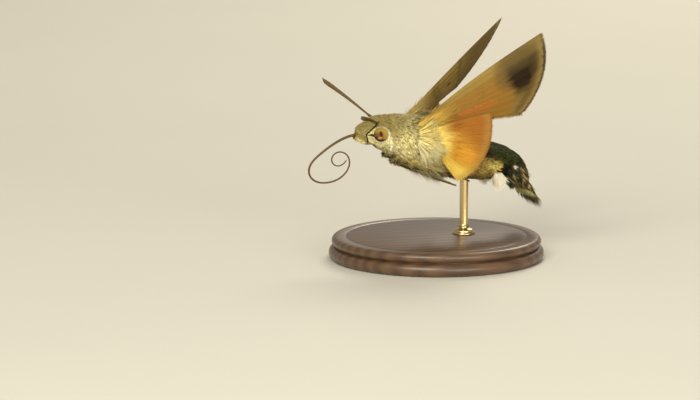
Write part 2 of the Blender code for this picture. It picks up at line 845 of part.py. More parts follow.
def stand_rod(skin, collection):
    """A slim rod with a round foot, from the base up to the underside of the abdomen."""
    foot_floor = BASE_THICKNESS + GAP
    foot_top = foot_floor + ROD_FOOT_HEIGHT
    top = BODY_POINT.z
    profile = (
        (0.0, top), (ROD_RADIUS, top), (ROD_RADIUS, foot_top + 0.25 * MM),
        (ROD_RADIUS + 0.2 * MM, foot_top), (ROD_FOOT_RADIUS, foot_floor + 0.3 * MM),
        (ROD_FOOT_RADIUS, foot_floor), (0.0, foot_floor),
    )
    made = turned("stand_rod", profile, 20, "stand_metal", collection)
    made.location = (BODY_POINT.x + ROD_AFT, 0, 0)
    bpy.context.view_layer.update()
    cut_by(made, skin)


def build():
    clear_scene()
    moth = new_collection("hawk_moth")
    cutters = new_collection("cutters", helper=True)
    skin = helper(body_form("skin_clearance", GAP, cutters))
    hollows = [
        helper(eye_ball(name, side, EYE_RADIUS + GAP, "eye_brown", cutters))
        for name, side in (("left_eye_hollow", 1), ("right_eye_hollow", -1))
    ]
    head(skin, hollows, moth)
    body_length("thorax", NECK_AFT, WAIST_AFT, "thorax_fur", moth)
    body_length("abdomen_front", WAIST_AFT, BELLY_AFT, "abdomen_scales", moth)
    rear = body_length("abdomen_rear", BELLY_AFT, TAIL_AFT, "abdomen_scales", moth)
    tail = body_length("tail_fan", TAIL_AFT, None, "tail_black", moth)
    tail_fan(tail, moth)
    past_rear = TAIL_AFT - 0.95 * GAP
    clearance = body_length("tail_clearance", past_rear, None, "tail_black", cutters, extra=GAP)
    side_brushes(rear, helper(clearance), moth)
    for side_name, side in (("left", 1), ("right", -1)):
        eye_ball("eye_" + side_name, side, EYE_RADIUS, "eye_brown", moth)
        palp("palp_" + side_name, side, skin, moth)
    antenna("antenna_left", 1, ANTENNA_LEFT_ROOT, ANTENNA_LEFT_WAY, skin, moth)
    antenna("antenna_right", -1, ANTENNA_RIGHT_ROOT, ANTENNA_RIGHT_WAY, skin, moth)
    proboscis(skin, moth)
    wings(skin, moth)
    for name, joints in LEGS.items():
        leg(name, joints, skin, moth)
    stand_base(moth)
    stand_rod(skin, moth)


build()
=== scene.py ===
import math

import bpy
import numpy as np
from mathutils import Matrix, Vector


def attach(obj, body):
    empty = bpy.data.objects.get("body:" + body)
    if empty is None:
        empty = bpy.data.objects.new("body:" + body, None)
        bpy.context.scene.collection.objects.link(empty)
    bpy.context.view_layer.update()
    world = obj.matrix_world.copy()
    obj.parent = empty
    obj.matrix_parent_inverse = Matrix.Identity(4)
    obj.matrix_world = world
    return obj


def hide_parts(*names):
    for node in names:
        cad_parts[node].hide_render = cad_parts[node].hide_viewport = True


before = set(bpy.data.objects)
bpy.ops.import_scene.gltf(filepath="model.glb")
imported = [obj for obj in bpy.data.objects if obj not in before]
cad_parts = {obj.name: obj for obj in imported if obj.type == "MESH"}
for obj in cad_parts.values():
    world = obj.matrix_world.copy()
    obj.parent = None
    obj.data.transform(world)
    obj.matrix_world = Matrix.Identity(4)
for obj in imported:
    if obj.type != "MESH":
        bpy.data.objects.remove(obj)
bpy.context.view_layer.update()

# %% [markdown]
# # A hummingbird hawk moth, life size, on a display stand
#
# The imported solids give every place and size. This lesson dresses them: one skin for the body, about two
# hundred thousand small blades for its fur and scales, thin veined wings, faceted eyes, ringed antennae and
# tongue, and a wooden base with a brass rod. The moth faces -X, its left side is towards -Y, and +Z is up.
# Lengths are metres, written as millimetres times MM, or plain millimetres where a table says so.

MM = 0.001


def new_object(name, data):
    """An object in the scene that holds this mesh, lamp or camera."""
    made = bpy.data.objects.new(name, data)
    bpy.context.scene.collection.objects.link(made)
    return made


# %% [markdown]
# ## Camera, floor and light
#
# The camera looks at the moth's left side from a little in front of it and ten degrees above, through a
# long lens, so that the moth keeps the photograph's flat perspective. Its frame is 700 by 400 and shows 7.2
# picture points to the millimetre at the moth. BODY_POINT, near the waist, is seen at point 440, 150.

# %% Camera
BODY_POINT = np.array((0.5, 0.0, 15.2)) * MM
CAMERA_AZIMUTH = math.radians(-20)
CAMERA_ELEVATION = math.radians(10)
CAMERA_DISTANCE = 600 * MM
POINTS_PER_MM = 7.2
FRAME_WIDTH = 700
FRAME_HEIGHT = 400
SEEN_AT = (440, 150)
SENSOR = 36.0
NEAREST_SEEN = 20 * MM
FARTHEST_SEEN = 20.0

back = Vector((
    math.sin(CAMERA_AZIMUTH) * math.cos(CAMERA_ELEVATION),
    -math.cos(CAMERA_AZIMUTH) * math.cos(CAMERA_ELEVATION),
    math.sin(CAMERA_ELEVATION),
))
right = Vector((math.cos(CAMERA_AZIMUTH), math.sin(CAMERA_AZIMUTH), 0))
up = back.cross(right)
aim = Vector(BODY_POINT)
aim -= right * (SEEN_AT[0] - FRAME_WIDTH / 2) / POINTS_PER_MM * MM
aim += up * (SEEN_AT[1] - FRAME_HEIGHT / 2) / POINTS_PER_MM * MM
camera = new_object("camera", bpy.data.cameras.new("camera"))
camera.data.sensor_width = SENSOR
camera.data.lens = SENSOR * CAMERA_DISTANCE / (FRAME_WIDTH / POINTS_PER_MM * MM)
camera.data.clip_start = NEAREST_SEEN
camera.data.clip_end = FARTHEST_SEEN
camera.location = aim + back * CAMERA_DISTANCE
camera.rotation_mode = "QUATERNION"
camera.rotation_quaternion = back.to_track_quat("Z", "Y")
bpy.context.scene.camera = camera
print("lens", round(camera.data.lens, 1), "mm")

# %% [markdown]
# Three wide area lights make a soft studio light: a warm key high on the camera's left, a weaker fill low
# in front that reaches under the wings, and a rim light behind. A pale world lifts the shadows. The picture
# is shown with the Standard view, which keeps the scales' own colours.

# %% Light
LIGHTS = {
    "key": {"way": (-0.62, -0.80, 0.66), "size": 0.28, "power": 2.05, "colour": (1.0, 0.94, 0.80)},
    "fill": {"way": (0.15, -1.00, 0.10), "size": 0.35, "power": 1.65, "colour": (1.0, 0.97, 0.88)},
    "rim": {"way": (0.55, 0.70, 0.75), "size": 0.25, "power": 1.3, "colour": (1.0, 0.92, 0.76)},
}
LIGHT_DISTANCE = 500 * MM
WORLD_COLOUR = (0.86, 0.84, 0.76)
WORLD_STRENGTH = 0.42
for name, light in LIGHTS.items():
    lamp = bpy.data.lights.new(name, "AREA")
    lamp.shape = "DISK"
    lamp.size = light["size"]
    lamp.energy = light["power"]
    lamp.color = light["colour"]
    made = new_object(name, lamp)
    way = Vector(light["way"]).normalized()
    made.location = Vector(BODY_POINT) + way * LIGHT_DISTANCE
    made.rotation_mode = "QUATERNION"
    made.rotation_quaternion = way.to_track_quat("Z", "Y")
world = bpy.data.worlds.new("studio")
world.use_nodes = True
background = world.node_tree.nodes["Background"]
background.inputs["Color"].default_value = (*WORLD_COLOUR, 1)
background.inputs["Strength"].default_value = WORLD_STRENGTH
bpy.context.scene.world = world
bpy.context.scene.view_settings.view_transform = "Standard"
print(len(LIGHTS), "lights")

# %% [markdown]
# ## Finishes as expressions
#
# A finish is a Principled shader with a few nodes in front of it. Writing those nodes one by one hides what
# they work out, so a small class wraps an output and lets Python's own operators add Math nodes. `1 - mask`
# then reads as it is meant. Every other node comes from one function, `add_node`.

# %% A value in a finish
class Value:
    """One output of a finish's nodes. Operators on it add Math nodes to the same tree."""

    def __init__(self, tree, socket):
        self.tree = tree
        self.socket = socket

    def output(self, name):
        """Another output of the same node."""
        return Value(self.tree, self.socket.node.outputs[name])

    def math(self, operation, *others):
        terms = dict(enumerate((self, *others)))
        return add_node(self.tree, "ShaderNodeMath", {"operation": operation}, terms)

    def __add__(self, other):
        return self.math("ADD", other)

    def __sub__(self, other):
        return self.math("SUBTRACT", other)

    def __mul__(self, other):
        return self.math("MULTIPLY", other)

    def __truediv__(self, other):
        return self.math("DIVIDE", other)

    def __rsub__(self, other):
        return self.math("MULTIPLY_ADD", -1.0, other)

    def __abs__(self):
        return self.math("ABSOLUTE")

    __radd__ = __add__
    __rmul__ = __mul__

    def above(self, edge, soft):
        """0 below the edge and 1 above it, turning over the soft width."""
        sockets = {"Value": self - edge, "From Min": -soft / 2, "From Max": soft / 2}
        return add_node(self.tree, "ShaderNodeMapRange", {"interpolation_type": "SMOOTHSTEP"}, sockets)

    def below(self, edge, soft):
        return 1 - self.above(edge, soft)

    def between(self, low, high, soft):
        return self.above(low, soft) * self.below(high, soft)


def feed(tree, slot, term):
    """Links a value to a socket, or writes a number, a name or a colour on it."""
    if isinstance(term, Value):
        tree.links.new(term.socket, slot)
    elif isinstance(term, (int, float, str)):
        slot.default_value = term
    else:
        slot.default_value = (*term, 1.0) if len(slot.default_value) == 4 else term


def add_node(tree, kind, settings, sockets, output=0):
    """A node of any kind: its settings first, then the values or links of its sockets."""
    made = tree.nodes.new(kind)
    for name, value in settings.items():
        setattr(made, name, value)
    for name, term in sockets.items():
        feed(tree, made.inputs[name], term)
    return Value(tree, made.outputs[output])


print("values take + - * /")

# %% A finish
class Finish:
    """A material whose Principled shader holds its uniform values, and whose nodes feed what varies."""

    def __init__(self, name, **uniform):
        self.material = bpy.data.materials.new(name)
        self.material.use_nodes = True
        self.tree = self.material.node_tree
        self.shader = self.tree.nodes["Principled BSDF"]
        for socket, value in uniform.items():
            feed(self.tree, self.shader.inputs[socket.replace("_", " ")], value)

    def node(self, kind, settings, sockets, output=0):
        return add_node(self.tree, kind, settings, sockets, output)

    def parts(self, vector):
        """The three numbers of a vector."""
        split = self.node("ShaderNodeSeparateXYZ", {}, {0: vector})
        return [split.output(axis) for axis in "XYZ"]

    def vector(self, *terms):
        return self.node("ShaderNodeCombineXYZ", {}, dict(enumerate(terms)))

    def attribute(self, name):
        """The three numbers that the piece's mesh holds under this name at each point."""
        return self.parts(self.node("ShaderNodeAttribute", {"attribute_name": name}, {}, "Vector"))

    def position(self):
        return self.node("ShaderNodeTexCoord", {}, {}, "Object")

    def noise(self, vector, scale, detail=2.0, rough=0.55):
        sockets = {"Vector": vector, "Scale": scale, "Detail": detail, "Roughness": rough}
        return self.node("ShaderNodeTexNoise", {}, sockets)

    def mix(self, share, below, above):
        """The first colour where the share is 0, and the second where it is 1."""
        settings = {"data_type": "RGBA", "clamp_factor": True}
        return self.node("ShaderNodeMix", settings, {0: share, 6: below, 7: above}, 2)

    def layers(self, colour, *rows):
        """Colours laid over a first one. Each row holds a share from 0 to 1 and the colour it brings."""
        for share, above in rows:
            colour = self.mix(share, colour, above)
        return colour

    def shade(self, colour, brightness):
        """The colour multiplied by a brightness that varies."""
        grey = self.vector(brightness, brightness, brightness)
        return self.node("ShaderNodeVectorMath", {"operation": "MULTIPLY"}, {0: colour, 1: grey})

    def colour(self, value):
        feed(self.tree, self.shader.inputs["Base Color"], value)

    def roughness(self, value):
        feed(self.tree, self.shader.inputs["Roughness"], value)

    def bump(self, height, distance):
        sockets = {"Height": height, "Distance": distance}
        feed(self.tree, self.shader.inputs["Normal"], self.node("ShaderNodeBump", {}, sockets))


print("finishes ready")

# %% [markdown]
# The floor is one pale disc under everything. Faint large mottling keeps it from looking like a cut-out.

# %% Floor
FLOOR_RADIUS = 3.0
FLOOR_SIDES = 96
FLOOR_DARK = (0.60, 0.575, 0.51)
FLOOR_LIGHT = (0.66, 0.635, 0.57)
bpy.ops.mesh.primitive_circle_add(vertices=FLOOR_SIDES, radius=FLOOR_RADIUS, fill_type="NGON")
floor = bpy.context.object
floor.name = "floor"
finish = Finish("pale_floor", Roughness=0.85)
mottle = finish.noise(finish.position(), 9.0, 3.0)
finish.colour(finish.mix(mottle, FLOOR_DARK, FLOOR_LIGHT))
floor.data.materials.append(finish.material)
print("floor", FLOOR_RADIUS, "m")

# %% [markdown]
# ## The body's form
#
# The body is a chain of oval sections along a curved centre line. The stations below are the same ones that
# the solids were made from, so the skin can lie exactly one coat's depth inside them. Distances along the
# body are counted from the front of the head, and the snout lies before 0. Numpy works out many places at
# once, which the coat needs.

# %% Stations of the body
STATIONS = np.array((
    (-12.65, 2.85, 0.45, 0.40),
    (-11.95, 3.10, 1.15, 0.95),
    (-11.00, 3.22, 1.68, 1.42),
    (-9.70, 3.25, 2.30, 2.15),
    (-8.20, 2.95, 2.75, 2.75),
    (-6.40, 2.55, 3.20, 3.50),
    (-3.80, 1.70, 3.60, 4.00),
    (-0.80, 0.50, 3.50, 3.90),
    (1.50, -0.60, 3.10, 3.60),
    (5.00, -1.60, 2.95, 3.80),
    (8.20, -2.00, 2.70, 3.50),
    (10.60, -3.00, 2.15, 2.70),
    (12.00, -4.60, 1.30, 1.90),
)) * MM
AFT, UP, DEPTH, WIDTH = range(4)
LEFT = np.array((0.0, -1.0, 0.0))
steps = np.hypot(np.diff(STATIONS[:, AFT]), np.diff(STATIONS[:, UP]))
SNOUT = 0.77 * MM
MARKS = np.concatenate(([0.0], np.cumsum(steps))) - SNOUT
BODY_END = MARKS[-1]
WAIST = 13.93 * MM
NOSE_CAP = 0.6 * MM
TAIL_CAP = 0.9 * MM
SEGMENT_LENGTH = 1.55 * MM
SEGMENT_STEP = 0.03
SEGMENT_CREST = 0.92
low = np.maximum(np.arange(len(MARKS)) - 1, 0)
high = np.minimum(np.arange(len(MARKS)) + 1, len(MARKS) - 1)
SLOPES = (STATIONS[high] - STATIONS[low]) / (MARKS[high] - MARKS[low])[:, None]


def station(distance, column):
    """A smooth curve through one column of the stations, at each distance along the body."""
    distance = np.asarray(distance, float)
    index = np.clip(np.searchsorted(MARKS, distance) - 1, 0, len(MARKS) - 2)
    span = MARKS[index + 1] - MARKS[index]
    t = (distance - MARKS[index]) / span
    start, end = STATIONS[index, column], STATIONS[index + 1, column]
    smooth = start * (2 * t**3 - 3 * t**2 + 1) + end * (3 * t**2 - 2 * t**3)
    smooth += SLOPES[index, column] * span * (t**3 - 2 * t**2 + t)
    smooth += SLOPES[index + 1, column] * span * (t**3 - t**2)
    return np.where((t < 0) | (t > 1), start + (end - start) * t, smooth)


def rows_of(*columns):
    """Columns of numbers side by side. A single number fills its whole column."""
    return np.stack(np.broadcast_arrays(*columns), -1)


def unit(vectors):
    return vectors / np.maximum(np.linalg.norm(vectors, axis=-1, keepdims=True), 1e-12)


def smooth_step(value):
    value = np.clip(value, 0.0, 1.0)
    return value * value * (3 - 2 * value)


print("body", round((BODY_END + SNOUT) / MM, 2), "mm long")

# %% [markdown]
# A place on the body is a distance along it and an angle round it: 0 is the left flank and a quarter
# turn is the back. The abdomen's rings stand a little proud at their rear edges, like the real segments.

# %% Places on the body
SIDES = {"left": 1, "right": -1}
SIDE_STEP = 0.2 * MM
SKIN_STEP = 0.05 * MM
SKIN_TURN = 0.02
COAT_MARKS = (-0.7, 0.5, 3.0, 5.5, 12.5, 15.0, 25.7)
COAT_DEPTHS = (0.18, 0.25, 0.28, 0.55, 0.55, 0.28, 0.22)


def centre(distance):
    return BODY_POINT + rows_of(station(distance, AFT), 0.0, station(distance, UP))


def aftwards(distance):
    return unit(centre(distance + SIDE_STEP) - centre(distance - SIDE_STEP))


def backwards_up(distance):
    """Square to the centre line, towards the back."""
    along = aftwards(distance)
    return rows_of(-along[..., 2], 0.0, along[..., 0])


def section_fullness(distance):
    near_nose = np.clip(1 - (distance + SNOUT) / NOSE_CAP, 0, 1)
    near_tail = np.clip(1 - (BODY_END - distance) / TAIL_CAP, 0, 1)
    ends = np.sqrt(1 - near_nose**2) * np.sqrt(1 - near_tail**2)
    ring = ((distance - WAIST) / SEGMENT_LENGTH) % 1.0
    swell = 1 - SEGMENT_STEP + SEGMENT_STEP * smooth_step(ring / SEGMENT_CREST)
    return ends * np.where(distance < WAIST, 1.0, swell)


def coat_depth(distance):
    """How far the skin lies inside the solids, which reach out to the tips of the coat."""
    return np.interp(distance / MM, COAT_MARKS, COAT_DEPTHS) * MM


def on_body(distance, angle, lift=0.0):
    """A place on the skin, or lifted from it."""
    distance, angle = np.broadcast_arrays(np.asarray(distance, float), np.asarray(angle, float))
    inner = lift - coat_depth(distance)
    full = section_fullness(distance)
    wide = ((station(distance, WIDTH) + inner) * full * np.cos(angle))[..., None]
    deep = ((station(distance, DEPTH) + inner) * full * np.sin(angle))[..., None]
    return centre(distance) + LEFT * wide + backwards_up(distance) * deep


def skin_frame(distance, angle):
    """Unit ways at a place: aft along the skin, round it towards a greater angle, and out of it."""
    aft = unit(on_body(distance + SKIN_STEP, angle) - on_body(distance - SKIN_STEP, angle))
    around = unit(on_body(distance, angle + SKIN_TURN) - on_body(distance, angle - SKIN_TURN))
    out = unit(np.cross(around, aft))
    flip = np.sign(np.sum(out * (on_body(distance, angle) - centre(distance)), -1, keepdims=True))
    return aft, around, out * flip


def moth_point(aft, out, above, side=1):
    """A place in millimetres from the body point; side is 1 for the left and -1 for the right."""
    return BODY_POINT + np.array((aft, -out * side, above)) * MM


print("snout tip at", np.round(on_body(-SNOUT, 0.0) / MM, 2))

# %% [markdown]
# ## Meshes from rings
#
# The body, the mouth's palps, the legs, the tongue's core and the stand are all closed tubes: rings of
# points with a fan of triangles at each end. One function makes them. The points of the moth's coat, wings
# and legs also carry their place as an attribute, so that a finish can paint by place.

# %% Tubes and attributes
def set_vectors(mesh, name, vectors):
    """Stores three numbers at each point of the mesh under this name. One set of three serves all."""
    layer = mesh.attributes.new(name, "FLOAT_VECTOR", "POINT")
    vectors = np.broadcast_to(vectors, (len(mesh.vertices), 3))
    layer.data.foreach_set("vector", np.ascontiguousarray(vectors, np.float32).ravel())


def signed_volume(points, faces):
    total = 0.0
    for face in faces:
        first = points[face[0]]
        for second, third in zip(face[1:], face[2:]):
            total += np.dot(first, np.cross(points[second], points[third]))
    return total / 6


def tube_mesh(name, rings):
    """A closed mesh through rings of points, with a pole at the middle of each end."""
    rings = np.asarray(rings, float)
    count, sides = rings.shape[:2]
    points = np.concatenate((rings.reshape(-1, 3), rings[:1].mean(1), rings[-1:].mean(1)))
    start, end = count * sides, count * sides + 1
    faces = []
    for row in range(count - 1):
        for side in range(sides):
            after = (side + 1) % sides
            low, high = row * sides, (row + 1) * sides
            faces.append((low + side, low + after, high + after, high + side))
    for side in range(sides):
        after = (side + 1) % sides
        faces.append((start, after, side))
        faces.append((end, (count - 1) * sides + side, (count - 1) * sides + after))
    if signed_volume(points - points.mean(0), faces) < 0:
        faces = [face[::-1] for face in faces]
    mesh = bpy.data.meshes.new(name)
    mesh.from_pydata(points.tolist(), [], faces)
    mesh.shade_smooth()
    return mesh


def rings_round(path, across, above, reach, turns):
    """Rings of points round a path, at this reach from it and at these turns about it."""
    wide = (reach * np.cos(turns))[..., None]
    deep = (reach * np.sin(turns))[..., None]
    return path[:, None] + across[:, None] * wide + above[:, None] * deep


def full_turn(count):
    return np.linspace(0, 2 * math.pi, count, endpoint=False)


def piece(name, mesh, finish, slot, *nodes):
    """A finished piece on the moth's one body, which hides the solids it stands for. The slot is not used.
    """
    made = new_object(name, mesh)
    if finish is not None and not mesh.materials:
        mesh.materials.append(finish.material)
    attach(made, "root")
    if nodes:
        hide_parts(*nodes)
    return made


def triangles_in(mesh):
    return sum(len(face.vertices) - 2 for face in mesh.polygons)


print("tubes ready")

# %% [markdown]
# ## Markings of the body
#
# Skin and coat share one painter, so that a parting in the fur shows the same pattern below. It reads two
# attributes. `place` holds the distance along the body in millimetres, how far to the side the place is,
# and how far up: 1 on the back and -1 under the belly. `tuft` holds the share of the way to the tip and a
# tone that is the same all over one blade. A marking is then a soft band or spot in those numbers.

# %% The body's painter
OLIVE_BACK = (0.285, 0.226, 0.070)
OLIVE_FLANK = (0.57, 0.465, 0.145)
OLIVE_DARK = (0.090, 0.068, 0.020)
STRAW = (0.95, 0.86, 0.46)
CREAM = (0.82, 0.73, 0.38)
RIM_CREAM = (0.95, 0.90, 0.60)
THROAT = (0.60, 0.53, 0.27)
PALP_UNDER_SHADE = (0.17, 0.130, 0.060)
SNOUT_OLIVE = (0.29, 0.225, 0.070)
LINE_DARK = (0.030, 0.021, 0.008)
BELLY_BROWN = (0.180, 0.105, 0.028)
KEEL_SHADE = (0.075, 0.052, 0.011)
FLANK_BROWN = (0.62, 0.41, 0.085)
DORSUM = (0.085, 0.066, 0.026)
GREEN_BLACK = (0.012, 0.014, 0.004)
GREEN_SHEEN = (0.060, 0.072, 0.014)
YELLOW = (0.90, 0.74, 0.20)
RUST = (0.16, 0.055, 0.018)
TAIL_BROWN = (0.060, 0.038, 0.012)
PALE_SCALE = (0.46, 0.36, 0.14)
RING_SHADOW = (0.045, 0.032, 0.018)
RED_FLECK = (0.35, 0.05, 0.02)
TAIL_GLINT = (0.85, 0.82, 0.70)
WAIST_SHADOW = (0.030, 0.031, 0.009)
SKIN_SHADE = 0.65
EYE_CENTRE = (-9.40, 1.68, 2.97)


def oval(across, up, middle, reach):
    """0 at the middle of an oval and 1 on its edge, growing with the square of the way out."""
    wide = (across - middle[0]) / reach[0]
    high = (up - middle[1]) / reach[1]
    return wide * wide + high * high


def spot(across, up, middle, reach, soft=0.5):
    """A soft oval in the place's numbers: 1 inside and 0 outside."""
    return oval(across, up, middle, reach).below(1.0, soft)


def paint_body(finish):
    far, _, high = finish.attribute("place")
    tip, tone, _ = finish.attribute("tuft")
    position = finish.position()
    patchy = finish.noise(position, 900.0, 3.0)
    fine = finish.noise(position, 4200.0, 2.0)
    edge = (patchy - 0.5) * 0.9
    far = far + edge * 0.5
    high = high + edge * 0.35
    pale = tone.above(0.80, 0.10)
    dark = tone.below(0.20, 0.10)

    flank = high.below(0.35, 0.8)
    low = high.below(-0.18, 0.7)
    under = high.below(-0.86, 0.25) * far.between(1.3, 6.0, 0.9)
    # Painted shade along the underside behind the throat, where the tucked legs lie in shadow.
    keel_shade = (high - tip * 0.14).below(-0.92, 0.14) * far.above(6.0, 2.0) * (1 - pale * 0.6)
    crown = far.below(4.6, 1.6) * high.above(-0.3, 0.6)
    throat = far.between(1.3, 5.0, 0.9) * high.below(-0.50, 0.35)
    front = finish.layers(
        OLIVE_BACK,
        (flank, OLIVE_FLANK),
        (pale * (flank * 0.45 + 0.30) + pale * low * 0.25, STRAW),
        (dark * (low * 0.25 + 0.45), OLIVE_DARK),
        (under * 0.7, THROAT),
        (keel_shade, KEEL_SHADE),
        (crown * 0.8, SNOUT_OLIVE),
        (throat, THROAT),
    )
    front = paint_face(finish, front, position)
    rear = paint_abdomen(finish, far, high, pale, tone, patchy)
    abdomen = far.above(13.6, 1.6)
    shadow = spot(far, high, (12.9, -0.80), (2.7, 0.36), 0.9) * (1 - pale * 0.8)
    body = finish.layers(front, (abdomen, rear), (shadow * 0.95, WAIST_SHADOW))
    brightness = 0.37 + tip * 0.64 + tone * 0.40 - abdomen * (tip * 0.30)
    return finish.shade(body, brightness * (0.58 + fine * 0.84))


def paint_abdomen(finish, far, high, pale, tone, patchy):
    """Brown with a dark line at each ring. Further back a yellow patch, a rusty one, then green black."""
    ring = ((far - WAIST / MM) / (SEGMENT_LENGTH / MM)).math("FRACT")
    yellow = spot(far, high, (19.2, -0.06), (1.15, 0.24), 1.1) * (0.55 + tone * 0.5)
    sheen = far.above(18.6, 1.0) * high.above(0.05, 0.3) * (patchy + tone * 0.2).above(0.60, 0.10)
    return finish.layers(
        DORSUM,
        (high.below(0.30, 0.7), FLANK_BROWN),
        (high.below(-0.62, 0.40), BELLY_BROWN),
        (pale * 0.45, PALE_SCALE),
        (ring.above(0.80, 0.24) * 0.45, RING_SHADOW),
        (far.above(17.2, 1.8) * high.above(0.30, 0.4) * 0.85, GREEN_BLACK),
        (yellow, YELLOW),
        (spot(far, high, (20.6, -0.42), (0.9, 0.22)), RUST),
        (far.above(20.5, 0.6) * high.below(0.86, 0.3), GREEN_BLACK),
        (sheen * 0.9, GREEN_SHEEN),
        (far.above(23.1, 0.9) * (1 - pale * 0.5), TAIL_BROWN),
        (spot(far, high, (22.16, 0.02), (0.24, 0.12)), RED_FLECK),
        # A painted highlight: a small white glint on the abdomen near the tail.
        (spot(far, high, (22.62, 0.04), (0.30, 0.16)), TAIL_GLINT),
    )


def paint_face(finish, body, position):
    """A dark line slants from the antenna to the mouth. Behind it the face is cream, round the eye."""
    across, outwards, above = finish.parts(position)
    eye = BODY_POINT / MM + (EYE_CENTRE[0], 0, EYE_CENTRE[2])
    aft = across / MM - eye[0]
    up = above / MM - eye[2]
    out = (abs(outwards) / MM).above(0.75, 0.3)
    slant = (up - aft * 1.05) * 0.69 - 1.36
    ahead = slant.math("MAXIMUM", (aft + 1.86) * -0.9)
    cream = ahead.below(-0.07, 0.08) * spot(aft, up, (-0.48, -0.58), (1.58, 1.54), 0.3)
    # Painted shade under the palps: a dark grey band along their lower edge.
    chin_shade = (up + aft * 0.6).below(-1.90, 0.20) * aft.between(-2.2, -0.2, 0.4)
    line = ahead.between(-0.11, 0.09, 0.06) * up.between(-1.15, 1.75, 0.3)
    round_eye = (aft * aft + up * up).math("SQRT").below(1.14, 0.08) * ahead.below(-0.2, 0.1)
    streak = abs(aft - 1.26 + (up + 0.4) * 0.12).below(0.13, 0.08) * up.between(-2.5, -0.35, 0.5)
    notch = (abs(up + 0.10) - (aft + 1.85) * 0.26).below(0.0, 0.06) * aft.between(-1.8, -0.8, 0.1)
    return finish.layers(
        body,
        (cream * out, CREAM),
        (chin_shade * 0.85, PALP_UNDER_SHADE),
        (line * out, LINE_DARK),
        (round_eye * out * (1 - up.above(0.4, 0.8) * 0.5), RIM_CREAM),
        (streak * out, RIM_CREAM),
        (notch * out, OLIVE_DARK),
    )


skin_finish = Finish("body_skin", Roughness=0.8, Specular_IOR_Level=0.15)
skin_finish.colour(skin_finish.shade(paint_body(skin_finish), SKIN_SHADE))
skin_finish.bump(skin_finish.noise(skin_finish.position(), 9000.0, 2.0), 0.02 * MM)
coat_finish = Finish("body_coat", Roughness=0.62, Specular_IOR_Level=0.10)
coat_finish.colour(paint_body(coat_finish))
print("painter ready,", len(coat_finish.tree.nodes), "nodes")

# %% [markdown]
# ## The skin
#
# One skin stands for the head, the palps that make the snout, the thorax, the abdomen and the root of the
# tail, so no seam shows where the solids part. The palps are two short curved spindles, joined to the body
# by a Boolean union.

# %% Skin of the body
SKIN_SIDES = 72
SKIN_RINGS = 170
CAP_SHARES = np.array((0.02, 0.08, 0.2, 0.4, 0.65))
ring_places = np.concatenate((
    NOSE_CAP * CAP_SHARES - SNOUT,
    np.linspace(NOSE_CAP - SNOUT, BODY_END - TAIL_CAP, SKIN_RINGS),
    BODY_END - TAIL_CAP * CAP_SHARES[::-1],
))
ring_angles = full_turn(SKIN_SIDES)
skin_mesh = tube_mesh("skin", on_body(ring_places[:, None], ring_angles[None, :]))
print("skin rings", len(ring_places))

# %% Palps
PALP_PATH = ((-10.1, 1.10, 1.65), (-10.9, 1.18, 1.90), (-11.7, 1.00, 2.25), (-12.4, 0.62, 2.62))
PALP_DEPTH = 0.52 * MM
PALP_WIDTH = 0.38 * MM
PALP_SHARES = (0, 0.2, 0.45, 0.65, 0.84, 0.96, 1)
PALP_FULLNESS = (0.05, 0.45, 0.9, 1, 0.82, 0.45, 0.05)
PALP_STEPS = 60
PALP_RINGS = 24


def through(knots, count):
    """Points along a smooth curve through the knots, at even steps from knot to knot."""
    knots = np.asarray(knots, float)
    last = len(knots) - 1
    place = np.linspace(0, last, count)
    index = np.minimum(place.astype(int), last - 1)
    t = (place - index)[:, None]
    before, start = knots[np.maximum(index - 1, 0)], knots[index]
    end, after = knots[index + 1], knots[np.minimum(index + 2, last)]
    return 0.5 * (
        2 * start + (end - before) * t
        + (2 * before - 5 * start + 4 * end - after) * t**2
        + (3 * start - before - 3 * end + after) * t**3
    )


def path_frame(path, level=(0.0, -1.0, 0.0)):
    """At each point of a path: the way along it, a way across it, and a third at right angles."""
    along = unit(np.gradient(path, axis=0))
    above = unit(np.cross(np.broadcast_to(level, along.shape), along))
    return along, np.cross(along, above), above


def palp_surface(side, share, angle, lift=0.0):
    """A place on a palp, its share of the way along and its angle round the palp."""
    path = through([moth_point(*knot, side) for knot in PALP_PATH], PALP_STEPS)
    along, across, above = path_frame(path, (0.0, 1.0, 0.0))
    index = np.clip((share * (PALP_STEPS - 1)).round().astype(int), 0, PALP_STEPS - 1)
    full = np.interp(share, PALP_SHARES, PALP_FULLNESS)
    wide = ((PALP_WIDTH * full + lift) * np.cos(angle))[..., None]
    deep = ((PALP_DEPTH * full + lift) * np.sin(angle))[..., None]
    return path[index] - across[index] * wide + above[index] * deep, along[index]


skin = new_object("moth_skin", skin_mesh)
for side in SIDES.values():
    shares = np.linspace(0, 1, PALP_RINGS)[:, None]
    rings = palp_surface(side, *np.broadcast_arrays(shares, ring_angles[None, ::3]))[0]
    palp = new_object("palp", tube_mesh("palp", rings))
    joint = skin.modifiers.new("joint", "BOOLEAN")
    joint.operation = "UNION"
    joint.solver = "MANIFOLD"
    joint.object = palp
graph = bpy.context.evaluated_depsgraph_get()
skin_mesh = bpy.data.meshes.new_from_object(skin.evaluated_get(graph))
for palp in [joint.object for joint in skin.modifiers]:
    bpy.data.objects.remove(palp)
bpy.data.objects.remove(skin)
print("skin with palps", triangles_in(skin_mesh), "triangles")

# %% [markdown]
# After the union the points no longer know their distance and angle, so they look for the nearest place on
# the centre line. The palps belong to the head's front, whatever the centre line says.

# %% Places of the skin's points
SEARCH_PLACES = 400


def place_numbers(distance, angle):
    return rows_of(distance / MM, np.abs(np.cos(angle)), np.sin(angle))


def nearest_place(points):
    line = np.linspace(-SNOUT, BODY_END, SEARCH_PLACES)
    middles = centre(line)[:, ::2]
    gaps = ((points[:, None, ::2] - middles[None]) ** 2).sum(-1)
    distance = line[gaps.argmin(1)]
    offset = points - centre(distance)
    high = (offset * backwards_up(distance)).sum(-1) / station(distance, DEPTH)
    wide = offset @ LEFT / station(distance, WIDTH)
    return distance, np.arctan2(high, wide)


